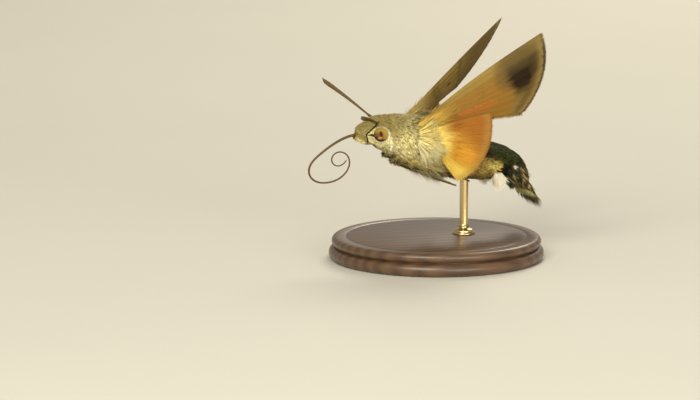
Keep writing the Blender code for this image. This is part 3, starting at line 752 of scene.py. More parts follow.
points = np.array([vertex.co for vertex in skin_mesh.vertices])
set_vectors(skin_mesh, "place", place_numbers(*nearest_place(points)))
set_vectors(skin_mesh, "tuft", (0.1, 0.4, 0.0))
skin_mesh.materials.clear()
skin_mesh.shade_smooth()
SKIN_NODES = ("head", "thorax", "abdomen_front", "abdomen_rear", "palp_left", "palp_right")
skin = piece("moth_skin", skin_mesh, skin_finish, "thorax_fur", *SKIN_NODES)
print("skin of", len(points), "points")

# %% [markdown]
# ## Fur and scales as blades
#
# Particle hair is lost when a model is exported, so every hair tuft and scale here is a small closed blade
# of mesh. A blade starts as a point a little under the skin, follows the lie of the coat, lifts and bends
# back, and ends in a point. Its section is a flat triangle, which catches light along its ridge. With one
# such section part of the way along it has only six triangles. All blades of a piece are worked out as
# arrays and written in one go. The map OFBake gives each blade a patch of its own at its root's place on
# the unwrapped skin.

# %% Blades
BAKE_PATCH = 0.003
CORNERS = ((-0.5, 0.0), (0.5, 0.0), (0.0, 1.0))


def blade_faces(rings):
    """The faces of one blade: a root point, this many rings of three points, and a tip point."""
    faces = [(0, 2, 1), (0, 3, 2), (0, 1, 3)]
    for ring in range(rings - 1):
        for side in range(3):
            after = (side + 1) % 3
            low, high = 3 * ring + 1, 3 * ring + 4
            faces.append((low + side, low + after, high + after, high + side))
    last = 3 * rings - 2
    faces += [(last + side, last + (side + 1) % 3, last + 3) for side in range(3)]
    return faces


def set_bake_map(mesh, spread, local, loops):
    """Writes OFBake: a patch for each blade at its root's place, spread over the whole square."""
    low, high = spread.min(0), spread.max(0)
    root = (spread - low) / np.maximum(high - low, 1e-9) * (1 - 2 * BAKE_PATCH) + BAKE_PATCH
    patch = root[:, None, :] + (local[loops][None] - 0.5) * BAKE_PATCH
    mesh.uv_layers.new(name="OFBake").data.foreach_set("uv", patch.astype(np.float32).ravel())


def blades(name, root, way, out, length, width, thick, lift, fall, place, tone, spread,
           shares=(0.4,), fullness=(1.0,), name_of_place="place"):
    """One mesh of closed blades. lift and fall are shares of the length: a blade rises, then bends back.

    shares and fullness say how far along each section stands and how wide it is.
    """
    across = unit(np.cross(way, out))
    out = unit(np.cross(across, way))
    length, width, thick, lift, fall = (
        np.broadcast_to(np.asarray(value, float), (len(root),))[:, None]
        for value in (length, width, thick, lift, fall)
    )

    def middle(share):
        return root + way * length * share + out * length * (lift * share - fall * share**2)

    points, local, tips = [middle(0.0)], [(0.5, 0.0)], [0.0]
    for share, full in zip(shares, fullness):
        for sideways, upwards in CORNERS:
            points.append(middle(share) + across * width * full * sideways + out * thick * full * upwards)
            local.append((sideways + 0.5, share))
            tips.append(share)
    points.append(middle(1.0))
    local.append((0.5, 1.0))
    tips.append(1.0)
    points = np.stack(points, 1)
    faces = blade_faces(len(shares))
    if signed_volume(points[0] - points[0].mean(0), faces) < 0:
        faces = [face[::-1] for face in faces]
    count, each = len(root), points.shape[1]
    loops = np.concatenate([np.array(face) for face in faces])
    sizes = np.array([len(face) for face in faces])
    mesh = bpy.data.meshes.new(name)
    mesh.vertices.add(count * each)
    mesh.vertices.foreach_set("co", points.astype(np.float32).ravel())
    mesh.loops.add(count * len(loops))
    corners = loops[None] + (np.arange(count) * each)[:, None]
    mesh.loops.foreach_set("vertex_index", corners.astype(np.int32).ravel())
    mesh.polygons.add(count * len(faces))
    starts = np.concatenate(([0], np.cumsum(np.tile(sizes, count))[:-1]))
    mesh.polygons.foreach_set("loop_start", starts.astype(np.int32))
    mesh.update(calc_edges=True)
    mesh.shade_smooth()
    set_vectors(mesh, name_of_place, np.repeat(np.broadcast_to(place, (count, 3)), each, axis=0))
    set_vectors(mesh, "tuft", rows_of(np.tile(tips, count), np.repeat(tone, each), 0.0))
    set_bake_map(mesh, spread, np.array(local), loops)
    return mesh


def dress(name, finish, slot, *nodes, flat=False, extra=None, **how):
    """A finished piece of blades. extra holds more numbers for each blade. Returns its triangles."""
    mesh = blades(name, **how)
    for label, numbers in (extra or {}).items():
        set_vectors(mesh, label, np.repeat(numbers, len(mesh.vertices) // len(numbers), axis=0))
    if flat:
        mesh.shade_flat()
    piece(name, mesh, finish, slot, *nodes)
    return triangles_in(mesh)


print("a short blade has", sum(len(face) - 2 for face in blade_faces(1)), "triangles")

# %% [markdown]
# Roots are laid by two fixed steps that never come round to the same place, which covers a surface evenly
# without rows. The distance is drawn in proportion to the body's girth there, so the coat is equally dense
# on the narrow face and the wide thorax. Slow waves over the body turn and part the tufts, so the coat
# looks combed and not machined.

# %% Roots and lie of the coat
FIRST_STEP = 0.7548776662
SECOND_STEP = 0.5698402910
GIRTH_PLACES = 300
WAVE_COUNT = 6
ROOT_DEPTH = 0.04 * MM


def even_pairs(count, start=0.5):
    index = np.arange(count)
    return (start + index * FIRST_STEP) % 1.0, (start + index * SECOND_STEP) % 1.0


def even_roots(count, low, high):
    """Distances and angles of roots spread evenly over the skin between two distances."""
    line = np.linspace(low, high, GIRTH_PLACES)
    girth = np.hypot(station(line, WIDTH), station(line, DEPTH)) * section_fullness(line)
    share = np.cumsum(girth)
    first, second = even_pairs(count)
    return np.interp(first, share / share[-1], line), second * 2 * math.pi


def flank_roots(side, distances, angles, first, second):
    """Distances and angles spread over a patch of one flank, given in millimetres and degrees."""
    distance = (distances[0] + (distances[1] - distances[0]) * first) * MM
    angle = np.radians(angles[0] + (angles[1] - angles[0]) * second)
    return distance, angle if side == 1 else math.pi - angle


def waves(points, size, seed):
    """A slow random number from -1 to 1 at each point, from a few crossing waves of this size."""
    draw = np.random.default_rng(seed)
    total = np.zeros(len(points))
    for _ in range(WAVE_COUNT):
        way = unit(draw.normal(size=3)) * draw.uniform(0.7, 1.6) * 2 * math.pi / size
        total += np.sin(points @ way + draw.uniform(0, 2 * math.pi))
    return np.clip(total / 2.6, -1, 1)


def clear_of_eyes(root, reach=1.03 * MM):
    clear = np.ones(len(root), bool)
    for side in SIDES.values():
        clear &= np.linalg.norm(root - moth_point(*EYE_CENTRE, side), axis=1) > reach
    return clear


def body_coat(name, slot, count, low, high, length, width, thick, lift, fall, down, pieces, seed,
              shares=(0.4,)):
    """A coat between two distances, its sizes in millimetres.

    length, lift, fall and down may be functions of distance and height.
    """
    distance, angle = even_roots(count, low * MM, high * MM)
    keep = clear_of_eyes(on_body(distance, angle))
    distance, angle = distance[keep], angle[keep]
    draw = np.random.default_rng(seed)
    height = np.sin(angle)
    length, lift, fall, down = (
        np.broadcast_to(value(distance / MM, height) if callable(value) else value, len(distance))
        for value in (length, lift, fall, down)
    )
    aft, around, out = skin_frame(distance, angle)
    root = on_body(distance, angle, -ROOT_DEPTH)
    downwards = -around * np.tanh(3 * np.cos(angle))[:, None]
    wander = waves(root, 1.6 * MM, seed)[:, None] * 0.16 + draw.normal(size=(len(root), 1)) * 0.20
    way = unit(aft + downwards * down[:, None] + around * wander)
    tone = draw.uniform(0, 1, len(root))
    longer = np.where(tone > 0.8, 0.22, 0.0)
    broader = np.where(tone > 0.86, 1.25, 1.05 - 0.25 * tone)
    stretch = 1 + longer + 0.08 * waves(root, 0.9 * MM, seed + 1) + draw.uniform(-0.3, 0.2, len(root))
    steepness = 1 + longer + 0.10 * waves(root, 0.6 * MM, seed + 2) + draw.uniform(-0.5, 0.4, len(root))
    columns = {
        "root": root, "way": way, "out": out, "tone": tone, "length": length * stretch * MM,
        "width": width * broader * MM, "lift": lift * steepness, "fall": fall,
        "place": place_numbers(distance, angle), "spread": rows_of(distance, angle),
    }
    piece_number = np.floor(angle / (2 * math.pi) * pieces).astype(int)
    made = 0
    for number in range(pieces):
        part = {label: column[piece_number == number] for label, column in columns.items()}
        part_name = f"{name}_{number + 1}"
        made += dress(part_name, coat_finish, slot, thick=thick * MM, shares=shares, **part)
    print(name, len(root), "blades,", made, "triangles")


print("roots ready")

# %% [markdown]
# The thorax wears the longest fur, swept back and, on the flanks, down towards the wing roots. Under its
# rear the fur is short, so that the feet stick out of it. It has more blades than any other coat.

# %% Fur of the thorax
def near_feet(distance, height):
    """1 under the rear of the thorax, where the fur is short and the feet stick out of it."""
    return smooth_step((-height - 0.5) / 0.3) * smooth_step((distance - 11.3) / 1.6)


def thorax_length(distance, height):
    back_share = np.interp(height, (-1, -0.6, 0.1, 0.8), (1.5, 1.25, 1.0, 0.72))
    full = np.interp(distance, (3.6, 5.0, 8.0, 12.0, 14.8), (0.75, 1.1, 1.45, 1.55, 1.1)) * back_share
    return full * (1 - 0.30 * near_feet(distance, height))


def thorax_lift(distance, height):
    low_share = np.interp(height, (-1, -0.6, 0.2, 0.8), (0.60, 0.40, 0.30, 0.52))
    rise = low_share * np.interp(distance, (4, 8, 12), (0.75, 0.9, 1.1))
    return rise * (1 - 0.35 * near_feet(distance, height))


def thorax_down(distance, height):
    flank = 1 - np.abs(height)
    return 0.12 + 0.75 * flank * np.interp(distance, (4, 6.5, 11), (0.5, 1.0, 0.45))


body_coat(
    "thorax_fur", "thorax_fur", count=78000, low=3.6, high=14.9, length=thorax_length, width=0.105,
    thick=0.045, lift=thorax_lift, fall=0.26, down=thorax_down, pieces=4, seed=21,
)

# %% [markdown]
# Head fur is short and lies close. It grows longer on the crown, where it meets the thorax, and on the
# throat, where it hangs over the knees of the front legs. Roots inside the eyes' balls are left out.

# %% Fur of the head
def head_length(distance, height):
    crown = smooth_step((height + 0.2) / 0.9)
    beard = 1 + 0.8 * smooth_step((-height - 0.4) / 0.4) * smooth_step((distance - 2.4) / 1.2)
    share = (0.85 + 0.35 * crown) * beard
    return np.interp(distance, (0.1, 1.5, 3.0, 4.6), (0.34, 0.42, 0.55, 0.85)) * share


body_coat(
    "head_fur", "head_fur", count=24000, low=-0.62, high=4.4, length=head_length, width=0.095, thick=0.035,
    lift=0.26, fall=0.20, down=0.18, pieces=1, seed=31,
)

# %% [markdown]
# The palps wear short scales that lie close and point to the snout's tip. They are rooted by a palp's own
# two numbers, the share of the way along it and the angle round it.

# %% Scales of the palps
PALP_SCALES = 5000
PALP_PLACE = 0.9 * MM


def palp_coat(side, count, seed):
    """Everything that differs from scale to scale on one palp."""
    first, second = even_pairs(count, 0.3)
    share = 0.02 + 0.97 * first
    angle = second * 2 * math.pi
    root, along = palp_surface(side, share, angle, -0.02 * MM)
    outer, _ = palp_surface(side, share, angle, 0.1 * MM)
    out = unit(outer - root)
    draw = np.random.default_rng(seed)
    way = unit(along + out * 0.1 + draw.normal(size=root.shape) * 0.12)
    return {
        "root": root, "way": way, "out": out, "place": place_numbers(PALP_PLACE, angle),
        "tone": draw.uniform(0, 1, count), "spread": rows_of(share, angle),
    }


for side_name, side in SIDES.items():
    coat = palp_coat(side, PALP_SCALES, 37 + side)
    dress(
        "palp_scales_" + side_name, coat_finish, "head_fur", length=(0.26 + 0.12 * coat["tone"]) * MM,
        width=0.10 * MM, thick=0.03 * MM, lift=0.22, fall=0.18, **coat,
    )
print("palps dressed")

# %% [markdown]
# On the abdomen the hairs give way to flat scales that overlap like tiles. Each is wide, with its widest
# part half way, and they grow a little longer along each ring's rear edge.

# %% Scales of the abdomen
def abdomen_length(distance, height):
    ring = ((distance - WAIST / MM) / (SEGMENT_LENGTH / MM)) % 1.0
    longer = 1 + 0.35 * (ring > 0.72)
    return np.interp(distance, (13.2, 15.5, 22.5, 25.6), (1.05, 0.62, 0.62, 0.9)) * longer


body_coat(
    "abdomen_scales", "abdomen_scales", count=30000, low=13.4, high=25.65, length=abdomen_length,
    width=0.19, thick=0.032, lift=0.17, fall=0.15, down=0.10, pieces=2, seed=41, shares=(0.55,),
)

# %% [markdown]
# ## Eyes
#
# A moth's eye is a ball of thousands of six-sided lenses. Modelling them one by one is hopeless by hand,
# but they follow a rule: a sphere of even triangles, turned into its dual, is a sphere of hexagons.
# Geometry Nodes does that, then raises each hexagon into a small dome.

# %% Running a geometry tree
VECTORS = {"data_type": "FLOAT_VECTOR"}


def new_tree(name, **inputs):
    """A Geometry Nodes tree with named inputs. Returns it, its input values and its end node."""
    tree = bpy.data.node_groups.new(name, "GeometryNodeTree")
    kinds = {float: "Float", int: "Int", "material": "Material", "geometry": "Geometry"}
    for label, kind in {"Geometry": "geometry", **inputs}.items():
        tree.interface.new_socket(label, in_out="INPUT", socket_type="NodeSocket" + kinds[kind])
    tree.interface.new_socket("Geometry", in_out="OUTPUT", socket_type="NodeSocketGeometry")
    start = tree.nodes.new("NodeGroupInput")
    end = tree.nodes.new("NodeGroupOutput")
    return tree, {socket.name: Value(tree, socket) for socket in start.outputs if socket.name}, end


def finish_tree(tree, geometry, given, end):
    """The last nodes of every tree: real meshes in place of instances, then their material."""
    real = add_node(tree, "GeometryNodeRealizeInstances", {}, {"Geometry": geometry})
    coated = {"Geometry": real, "Material": given["Material"]}
    feed(tree, end.inputs[0], add_node(tree, "GeometryNodeSetMaterial", {}, coated))


def grow(name, mesh, tree, **values):
    """Runs the tree on a mesh and returns the plain mesh that comes out."""
    made = new_object(name, mesh)
    modifier = made.modifiers.new("grow", "NODES")
    modifier.node_group = tree
    for socket in tree.interface.items_tree:
        if socket.in_out == "INPUT" and socket.name in values:
            modifier[socket.identifier] = values[socket.name]
    graph = bpy.context.evaluated_depsgraph_get()
    grown = bpy.data.meshes.new_from_object(made.evaluated_get(graph))
    grown.name = name
    bpy.data.objects.remove(made)
    return grown


print("trees run on a mesh")

# %% Tree of lenses
EYE_RADIUS = 1.0 * MM
EYE_DETAIL = 5
LENS_HEIGHT = 0.012 * MM
LENS_TOP = 0.72

lens_inputs = {"Radius": float, "Detail": int, "Height": float, "Top": float, "Material": "material"}
lens_tree, given, end = new_tree("eye_lenses", **lens_inputs)
ball = {"Radius": given["Radius"], "Subdivisions": given["Detail"]}
ball = add_node(lens_tree, "GeometryNodeMeshIcoSphere", {}, ball)
cells = add_node(lens_tree, "GeometryNodeDualMesh", {}, {"Mesh": ball})
raised = {"Mesh": cells, "Offset Scale": given["Height"]}
raised = add_node(lens_tree, "GeometryNodeExtrudeMesh", {}, raised)
shrunk = {"Geometry": raised, "Selection": raised.output("Top"), "Scale": given["Top"]}
domed = add_node(lens_tree, "GeometryNodeScaleElements", {}, shrunk)
finish_tree(lens_tree, domed, given, end)
print("lens tree", len(lens_tree.nodes), "nodes")

# %% [markdown]
# The eye is golden brown towards the rear and redder in front, and dark at its lower rim. It holds the dark
# spot that every large insect eye seems to have, a smaller one in front of it and a painted highlight
# below.
# A thin clear coat lets the lights draw a small bright point on it.

# %% Eye finish
EYE_RED = (0.20, 0.080, 0.016)
EYE_GOLD = (0.40, 0.27, 0.036)
EYE_TOP = (0.40, 0.30, 0.054)
EYE_RIM = (0.14, 0.066, 0.010)
EYE_FOOT = (0.045, 0.034, 0.006)
EYE_GLINT = (0.46, 0.28, 0.10)
PUPIL_BLACK = (0.060, 0.012, 0.001)
PUPIL_PLACE = (-0.30, 0.20)
PUPIL_REACH = (0.23, 0.38)
SMALL_PUPIL_BLACK = (0.045, 0.015, 0.003)


def eye_finish(side):
    name = "eye_left" if side == 1 else "eye_right"
    finish = Finish(name, Roughness=0.34, Coat_Weight=0.2, Specular_IOR_Level=0.15, Coat_Roughness=0.10)
    across, outwards, above = finish.parts(finish.position())
    place = moth_point(*EYE_CENTRE, side)
    aft = (across - float(place[0])) / EYE_RADIUS
    out = (outwards - float(place[1])) * -side / EYE_RADIUS
    up = (above - float(place[2])) / EYE_RADIUS
    patchy = finish.noise(finish.position(), 2600.0, 2.0)
    turned = aft + (patchy - 0.5) * 0.5
    facing = out.above(0.0, 0.2)
    lower_rim = (aft * aft + up * up).above(0.60, 0.5) * up.below(0.10, 0.5)
    # A painted highlight below the dark spot.
    painted_glint = spot(aft, up, (-0.44, -0.36), (0.30, 0.17), 0.8) * facing
    pupil = (oval(aft, up, PUPIL_PLACE, PUPIL_REACH) + (patchy - 0.5) * 0.6).below(1.0, 0.5) * facing
    small_pupil = spot(aft, up, (-0.78, -0.40), (0.20, 0.26), 0.8) * facing
    finish.colour(finish.layers(
        EYE_RED,
        (turned.above(0.12, 0.5), EYE_GOLD),
        ((up + patchy * 0.2).above(0.45, 0.5) * 0.8, EYE_TOP),
        (lower_rim * 0.75, EYE_RIM),
        (up.below(-0.64, 0.26), EYE_FOOT),
        (painted_glint, EYE_GLINT),
        (pupil, PUPIL_BLACK),
        (small_pupil * 0.85, SMALL_PUPIL_BLACK),
    ))
    return finish


for side_name, side in SIDES.items():
    seed_mesh = bpy.data.meshes.new("eye_seed")
    finish = eye_finish(side)
    mesh = grow(
        "eye_ball_" + side_name, seed_mesh, lens_tree, Radius=EYE_RADIUS, Detail=EYE_DETAIL,
        Height=LENS_HEIGHT, Top=LENS_TOP, Material=finish.material,
    )
    for vertex in mesh.vertices:
        vertex.co += Vector(moth_point(*EYE_CENTRE, side))
    piece(mesh.name, mesh, None, "eye", "eye_" + side_name)
    print("eye", side_name, triangles_in(mesh), "triangles")

# %% [markdown]
# A fringe of short cream scales frames each eye. Their roots stand on the circle where the ball leaves the
# skin, and they point away from its middle.

# %% Scales round the eyes
RIM_COUNT = 620
RIM_RADIUS = 0.97 * MM
RIM_PLACE = (2.5, 0.9, -0.2)
for side_name, side in SIDES.items():
    draw = np.random.default_rng(51 + side)
    turn = full_turn(RIM_COUNT) + draw.normal(size=RIM_COUNT) * 0.02
    axis = unit(np.array((-0.20, -1.0 * side, 0.04)))
    first = unit(np.cross(axis, (0, 0, 1)))
    second = np.cross(axis, first)
    radial = first * np.cos(turn)[:, None] + second * np.sin(turn)[:, None]
    depth = 0.10 + 0.13 * draw.uniform(size=RIM_COUNT)
    middle = moth_point(*EYE_CENTRE, side)
    root = middle + radial * RIM_RADIUS + axis * (depth * MM)[:, None]
    way = unit(radial + axis * 0.35 + draw.normal(size=root.shape) * 0.10)
    dress(
        "eye_rim_" + side_name, coat_finish, "head_fur", root=root, way=way,
        out=np.broadcast_to(axis, root.shape), length=0.24 * MM, width=0.07 * MM, thick=0.03 * MM, lift=0.1,
        fall=0.25, place=RIM_PLACE, tone=draw.uniform(0.2, 0.8, RIM_COUNT), spread=rows_of(turn, depth),
    )
print("rims", 2 * RIM_COUNT, "scales")

# %% [markdown]
# ## Antennae and tongue
#
# Both are rods of many short rings. One tree serves them: it walks along a path, sets a ring at every step,
# turns it to the path and scales it by a width stored on the path. The path itself comes from the same
# named sizes as the solids.

# %% Tree of rings along a path
ring_tree, given, end = new_tree(
    "rings_along_a_path", Spacing=float, Sides=int, Height=float, Lower=float, Upper=float,
    Material="material",
)
curve = add_node(ring_tree, "GeometryNodeMeshToCurve", {}, {"Mesh": given["Geometry"]})
steps_along = {"Curve": curve, "Length": given["Spacing"]}
curve = add_node(ring_tree, "GeometryNodeResampleCurve", {"mode": "LENGTH"}, steps_along)
ring = {
    "Vertices": given["Sides"], "Radius Bottom": given["Lower"], "Radius Top": given["Upper"],
    "Depth": given["Spacing"] * given["Height"],
}
ring = add_node(ring_tree, "GeometryNodeMeshCone", {"fill_type": "TRIANGLE_FAN"}, ring)
tangent = add_node(ring_tree, "GeometryNodeInputTangent", {}, {})
turn = add_node(ring_tree, "FunctionNodeAlignRotationToVector", {"axis": "Z"}, {"Vector": tangent})
size = add_node(ring_tree, "GeometryNodeInputNamedAttribute", VECTORS, {"Name": "size"})
rings = {"Points": curve, "Instance": ring, "Rotation": turn, "Scale": size}
rings = add_node(ring_tree, "GeometryNodeInstanceOnPoints", {}, rings)
finish_tree(ring_tree, rings, given, end)


def path_mesh(name, path, radius, flat=1.0):
    """A line of points that holds, for each, the scale of the ring to be set there."""
    mesh = bpy.data.meshes.new(name)
    mesh.from_pydata([tuple(point) for point in path], [(i, i + 1) for i in range(len(path) - 1)], [])
    set_vectors(mesh, "size", rows_of(radius * flat, radius, 1.0))
    return mesh


print("ring tree", len(ring_tree.nodes), "nodes")

# %% [markdown]
# Antennae, tongue, spurs and claws share one dark horn, mottled and roughened by a fine noise.

# %% Horn finish
HORN_DARK = (0.050, 0.028, 0.006)
HORN_LIGHT = (0.150, 0.088, 0.016)
horn = Finish("dark_horn", Roughness=0.45, Specular_IOR_Level=0.35)
grain = horn.noise(horn.position(), 5200.0, 3.0)
horn.colour(horn.mix(grain, HORN_DARK, HORN_LIGHT))
horn.bump(grain, 0.01 * MM)

# %% [markdown]
# Each antenna has about sixty rings. They widen slowly to a club and end in a fine hooked tip. A moth can
# swing its antennae one by one, and the two here point a little differently, as in life.

# %% Antennae
ANTENNAE = {
    "left": {"root": (-9.70, 1.30, 4.50), "way": (-0.55, 0.80, 0.22)},
    "right": {"root": (-9.66, 1.20, 4.90), "way": (-0.565, 0.64, 0.52)},
}
ANTENNA_LENGTH = 9.2 * MM
ANTENNA_BOW = 0.12 * MM
ANTENNA_HOOK = 0.22 * MM
ANTENNA_RINGS = 64
ANTENNA_STEPS = 90
HOOK_FROM = 0.92
ANTENNA_SHARES = (0, 0.04, 0.09, 0.3, 0.5, 0.7, 0.87, 0.93, 0.97, 1.0)
ANTENNA_RADII = (0.23, 0.22, 0.14, 0.18, 0.225, 0.28, 0.32, 0.27, 0.13, 0.02)


def moth_way(aft, out, above, side=1):
    return unit(np.array((aft, -out * side, above), float))


for name, antenna in ANTENNAE.items():
    side = SIDES[name]
    way = moth_way(*antenna["way"], side)
    bow = np.cross(unit(np.cross(way, (0, 0, 1))), way)
    share = np.linspace(0, 1, ANTENNA_STEPS)
    hook = np.clip((share - HOOK_FROM) / (1 - HOOK_FROM), 0, 1) ** 2
    lift = ANTENNA_BOW * np.sin(math.pi * share) + ANTENNA_HOOK * hook
    path = moth_point(*antenna["root"], side) + way * (ANTENNA_LENGTH * share)[:, None]
    path = path + bow * lift[:, None]
    radius = np.interp(share, ANTENNA_SHARES, ANTENNA_RADII) * MM
    mesh = grow(
        "antenna_rings_" + name, path_mesh("antenna_path", path, radius), ring_tree,
        Spacing=ANTENNA_LENGTH / ANTENNA_RINGS, Sides=16, Height=1.06, Lower=0.86, Upper=1.0,
        Material=horn.material,
    )
    piece(mesh.name, mesh, None, "horn", "antenna_" + name)
    print("antenna", name, triangles_in(mesh), "triangles")

# %% [markdown]
# The tongue is two half tubes zipped together, stiffened by fine rings. It leaves the palps, hangs in an
# open bow and rolls inwards at the end. Its heading turns by a set amount for each millimetre, so nine
# numbers give the whole curl.

# %% Tongue
TONGUE_ROOT = (-11.10, 0.0, 2.97)
TONGUE_LENGTH = 25.2 * MM
TONGUE_HEADING = 186.0
TONGUE_LEAD = 1.57 * MM
TONGUE_TURNS = (11.0, 4.0, 2.4, 41.3, 11.0, 17.6, 39.1, 61.1, 35.3)
TONGUE_DRIFT = 0.85 * MM
DRIFT_FROM = 0.72
TONGUE_STEPS = 480
TONGUE_RINGS = 210
TONGUE_RADII = (0.23, 0.17, 0.14, 0.12, 0.09)


def tongue_path():
    run = np.linspace(0, TONGUE_LENGTH, TONGUE_STEPS)
    free = (run - TONGUE_LEAD) / (TONGUE_LENGTH - TONGUE_LEAD)
    places = np.linspace(0, 1, len(TONGUE_TURNS))
    turning = np.where(free > 0, np.interp(free, places, TONGUE_TURNS), 0.0)
    step = run[1]
    heading = np.radians(TONGUE_HEADING + np.cumsum(turning) * step / MM)
    move = rows_of(np.cos(heading), 0.0, np.sin(heading)) * step
    path = moth_point(*TONGUE_ROOT) + np.cumsum(move, 0)
    path[:, 1] = TONGUE_DRIFT * smooth_step((free - DRIFT_FROM) / (1 - DRIFT_FROM))
    return path


path = tongue_path()
radius_places = np.linspace(0, 1, len(TONGUE_RADII))
radius = np.interp(np.linspace(0, 1, TONGUE_STEPS), radius_places, TONGUE_RADII) * MM
mesh = grow(
    "tongue_rings", path_mesh("tongue_path", path, radius, 0.92), ring_tree,
    Spacing=TONGUE_LENGTH / TONGUE_RINGS, Sides=14, Height=0.62, Lower=1.0, Upper=1.0,
    Material=horn.material,
)
tongue_nodes = [f"proboscis_{part}" for part in ("root", "arm", "bend", "curl")]
piece(mesh.name, mesh, None, "horn", *tongue_nodes)
print("tongue rings", triangles_in(mesh), "triangles")

# %% [markdown]
# Between the rings a thinner core shows, a tube round the same path. Grooves along two of its sides mark
# where the half tubes meet.

# %% Core of the tongue
CORE_SHARE = 0.90
CORE_SIDES = 14
GROOVE_DEPTH = 0.16
GROOVE_WIDTH = 0.25
_, across, above = path_frame(path[::2])
turns = full_turn(CORE_SIDES)
groove = 1 - GROOVE_DEPTH * np.exp(-((np.cos(turns) / GROOVE_WIDTH) ** 2))
rings = rings_round(path[::2], across, above, radius[::2, None] * CORE_SHARE * groove, turns)
piece("tongue_core", tube_mesh("tongue_core", rings), horn, "horn")
print("tongue core", len(rings), "rings")

# %% [markdown]
# ## Wings
#
# A hawk moth's wing is a stiff thin sheet with straight veins that fan out from its root. It could be drawn
# as an outline and filled, but the veins, the shallow pleats between them and the markings all follow the
# same fan. So the sheet is a grid in two shares: `along` from root to outer margin, and `chord` from the
# leading edge to the hind edge. The same shares, stored on the mesh, paint it.

# %% A wing's sheet
class Wing:
    """A sheet of straight rays from the root to the curved outer margin."""

    def __init__(self, side, root_front, root_rear, costa_way, chord_way, length, hind_corner,
                 bulge, camber, costa_bow, veins, cell):
        self.root_front = moth_point(*root_front, side)
        self.root_rear = moth_point(*root_rear, side)
        costa = moth_way(*costa_way, side)
        chord = moth_way(*chord_way, side)
        self.chord = unit(chord - costa * (chord @ costa))
        self.upper = np.cross(costa, self.chord) * side
        self.tip = self.root_front + costa * length * MM
        corner = self.root_front + costa * hind_corner[0] * MM + self.chord * hind_corner[1] * MM
        self.edge = corner - self.tip
        out = unit(np.cross(self.edge, self.upper))
        self.out = out * np.sign(out @ (self.tip - self.root_front))
        self.bulge = bulge * MM
        self.camber = camber * MM
        self.costa_bow = costa_bow * MM
        self.veins = veins
        self.cell = cell

    def place(self, along, chord):
        along, chord = np.broadcast_arrays(np.asarray(along, float), np.asarray(chord, float))
        along, chord = along[..., None], chord[..., None]
        margin = self.tip + self.edge * chord
        margin = margin + self.out * self.bulge * np.sin(math.pi * np.clip(chord, 0, 1)) ** 0.8
        root = self.root_front + (self.root_rear - self.root_front) * chord
        lift = self.camber * np.sin(math.pi * along) * np.sin(math.pi * chord)
        bow = self.costa_bow * np.sin(math.pi * along) * (1 - chord) ** 3
        return root + (margin - root) * along + self.upper * lift - self.chord * bow

    def ridge(self, along, chord):
        """1 on a vein's crest and 0 away from it. Stems start at the root and the others at the cell."""
        height = np.zeros(np.broadcast(along, chord).shape)
        width = VEIN_WIDTH / np.maximum(along, 0.12)
        start, last = self.cell
        for vein, is_stem in self.veins:
            rise = (along - 0.04) / 0.1 if is_stem else (along - start) / 0.03 + 1
            crest = np.exp(-(((chord - vein) / width) ** 2)) * smooth_step((1 - along) / 0.06)
            crest = crest * smooth_step(rise)
            height = np.maximum(height, crest)
        behind_first = smooth_step((chord - self.veins[1][0]) / 0.02)
        inside = behind_first * smooth_step((self.veins[last][0] - chord) / 0.02)
        cross = start + 0.05 * np.sin(math.pi * (chord - self.veins[1][0]) * 4)
        return np.maximum(height, np.exp(-(((along - cross) / 0.006) ** 2)) * inside)


VEIN_WIDTH = 0.0042
FOREWING = {
    "root_front": (-4.9, 2.6, 3.85), "root_rear": (-3.0, 2.5, 3.75), "chord_way": (0.200, 0.775, -0.600),
    "length": 21.5, "hind_corner": (13.2, 8.5), "bulge": 1.7, "camber": 0.7, "costa_bow": 0.5,
    "cell": (0.48, 6),
    "veins": ((0.075, True), (0.17, True), (0.28, False), (0.39, False), (0.50, False),
              (0.61, False), (0.72, True), (0.88, True)),
}
HINDWING = {
    "root_front": (-3.6, 3.0, 2.95), "root_rear": (-2.2, 3.3, 1.1), "costa_way": (0.667, 0.666, 0.335),
    "chord_way": (0.325, 0.145, -0.935), "length": 10.4, "hind_corner": (2.5, 7.4), "bulge": 1.8,
    "camber": -0.4, "costa_bow": 0.3, "cell": (0.45, 4),
    "veins": ((0.10, True), (0.24, True), (0.38, False), (0.52, False), (0.66, True), (0.86, True)),
}
WINGS = {
    "forewing_left": (Wing(1, costa_way=(0.757, 0.232, 0.588), **FOREWING), "forewing_scales"),
    "forewing_right": (Wing(-1, costa_way=(0.769, 0.203, 0.606), **FOREWING), "forewing_scales"),
    "hindwing_left": (Wing(1, **HINDWING), "hindwing_scales"),
    "hindwing_right": (Wing(-1, **HINDWING), "hindwing_scales"),
}
print(len(WINGS), "wings")

# %% [markdown]
# The mesh has an upper and an under face a few hundredths of a millimetre apart, joined round the edge. The
# columns crowd towards each vein, so that its round crest shows without a very dense grid everywhere. Real
# membranes are thinner still, but at this size the eye sees no difference.

# %% Wing meshes
MEMBRANE = 0.055 * MM
VEIN_HEIGHT = 0.075 * MM
WING_ROWS = 76
WING_FROM = 0.03
WING_EDGE = 0.004
COLUMN_OFFSETS = (-2.6, -1.5, -0.8, 0, 0.8, 1.5, 2.6)


def wing_columns(veins):
    """Shares across the wing: even ones, and seven close together over each vein."""
    offsets = np.array(COLUMN_OFFSETS) * VEIN_WIDTH * 1.4
    marks = np.concatenate([vein + offsets for vein, _ in veins])
    plain = [mark for mark in np.linspace(0, 1, 41) if np.abs(marks - mark).min() > 0.012]
    edges = (0.0, WING_EDGE, 1 - WING_EDGE, 1.0)
    return np.unique(np.concatenate((marks[(marks > 0) & (marks < 1)], plain, edges)))


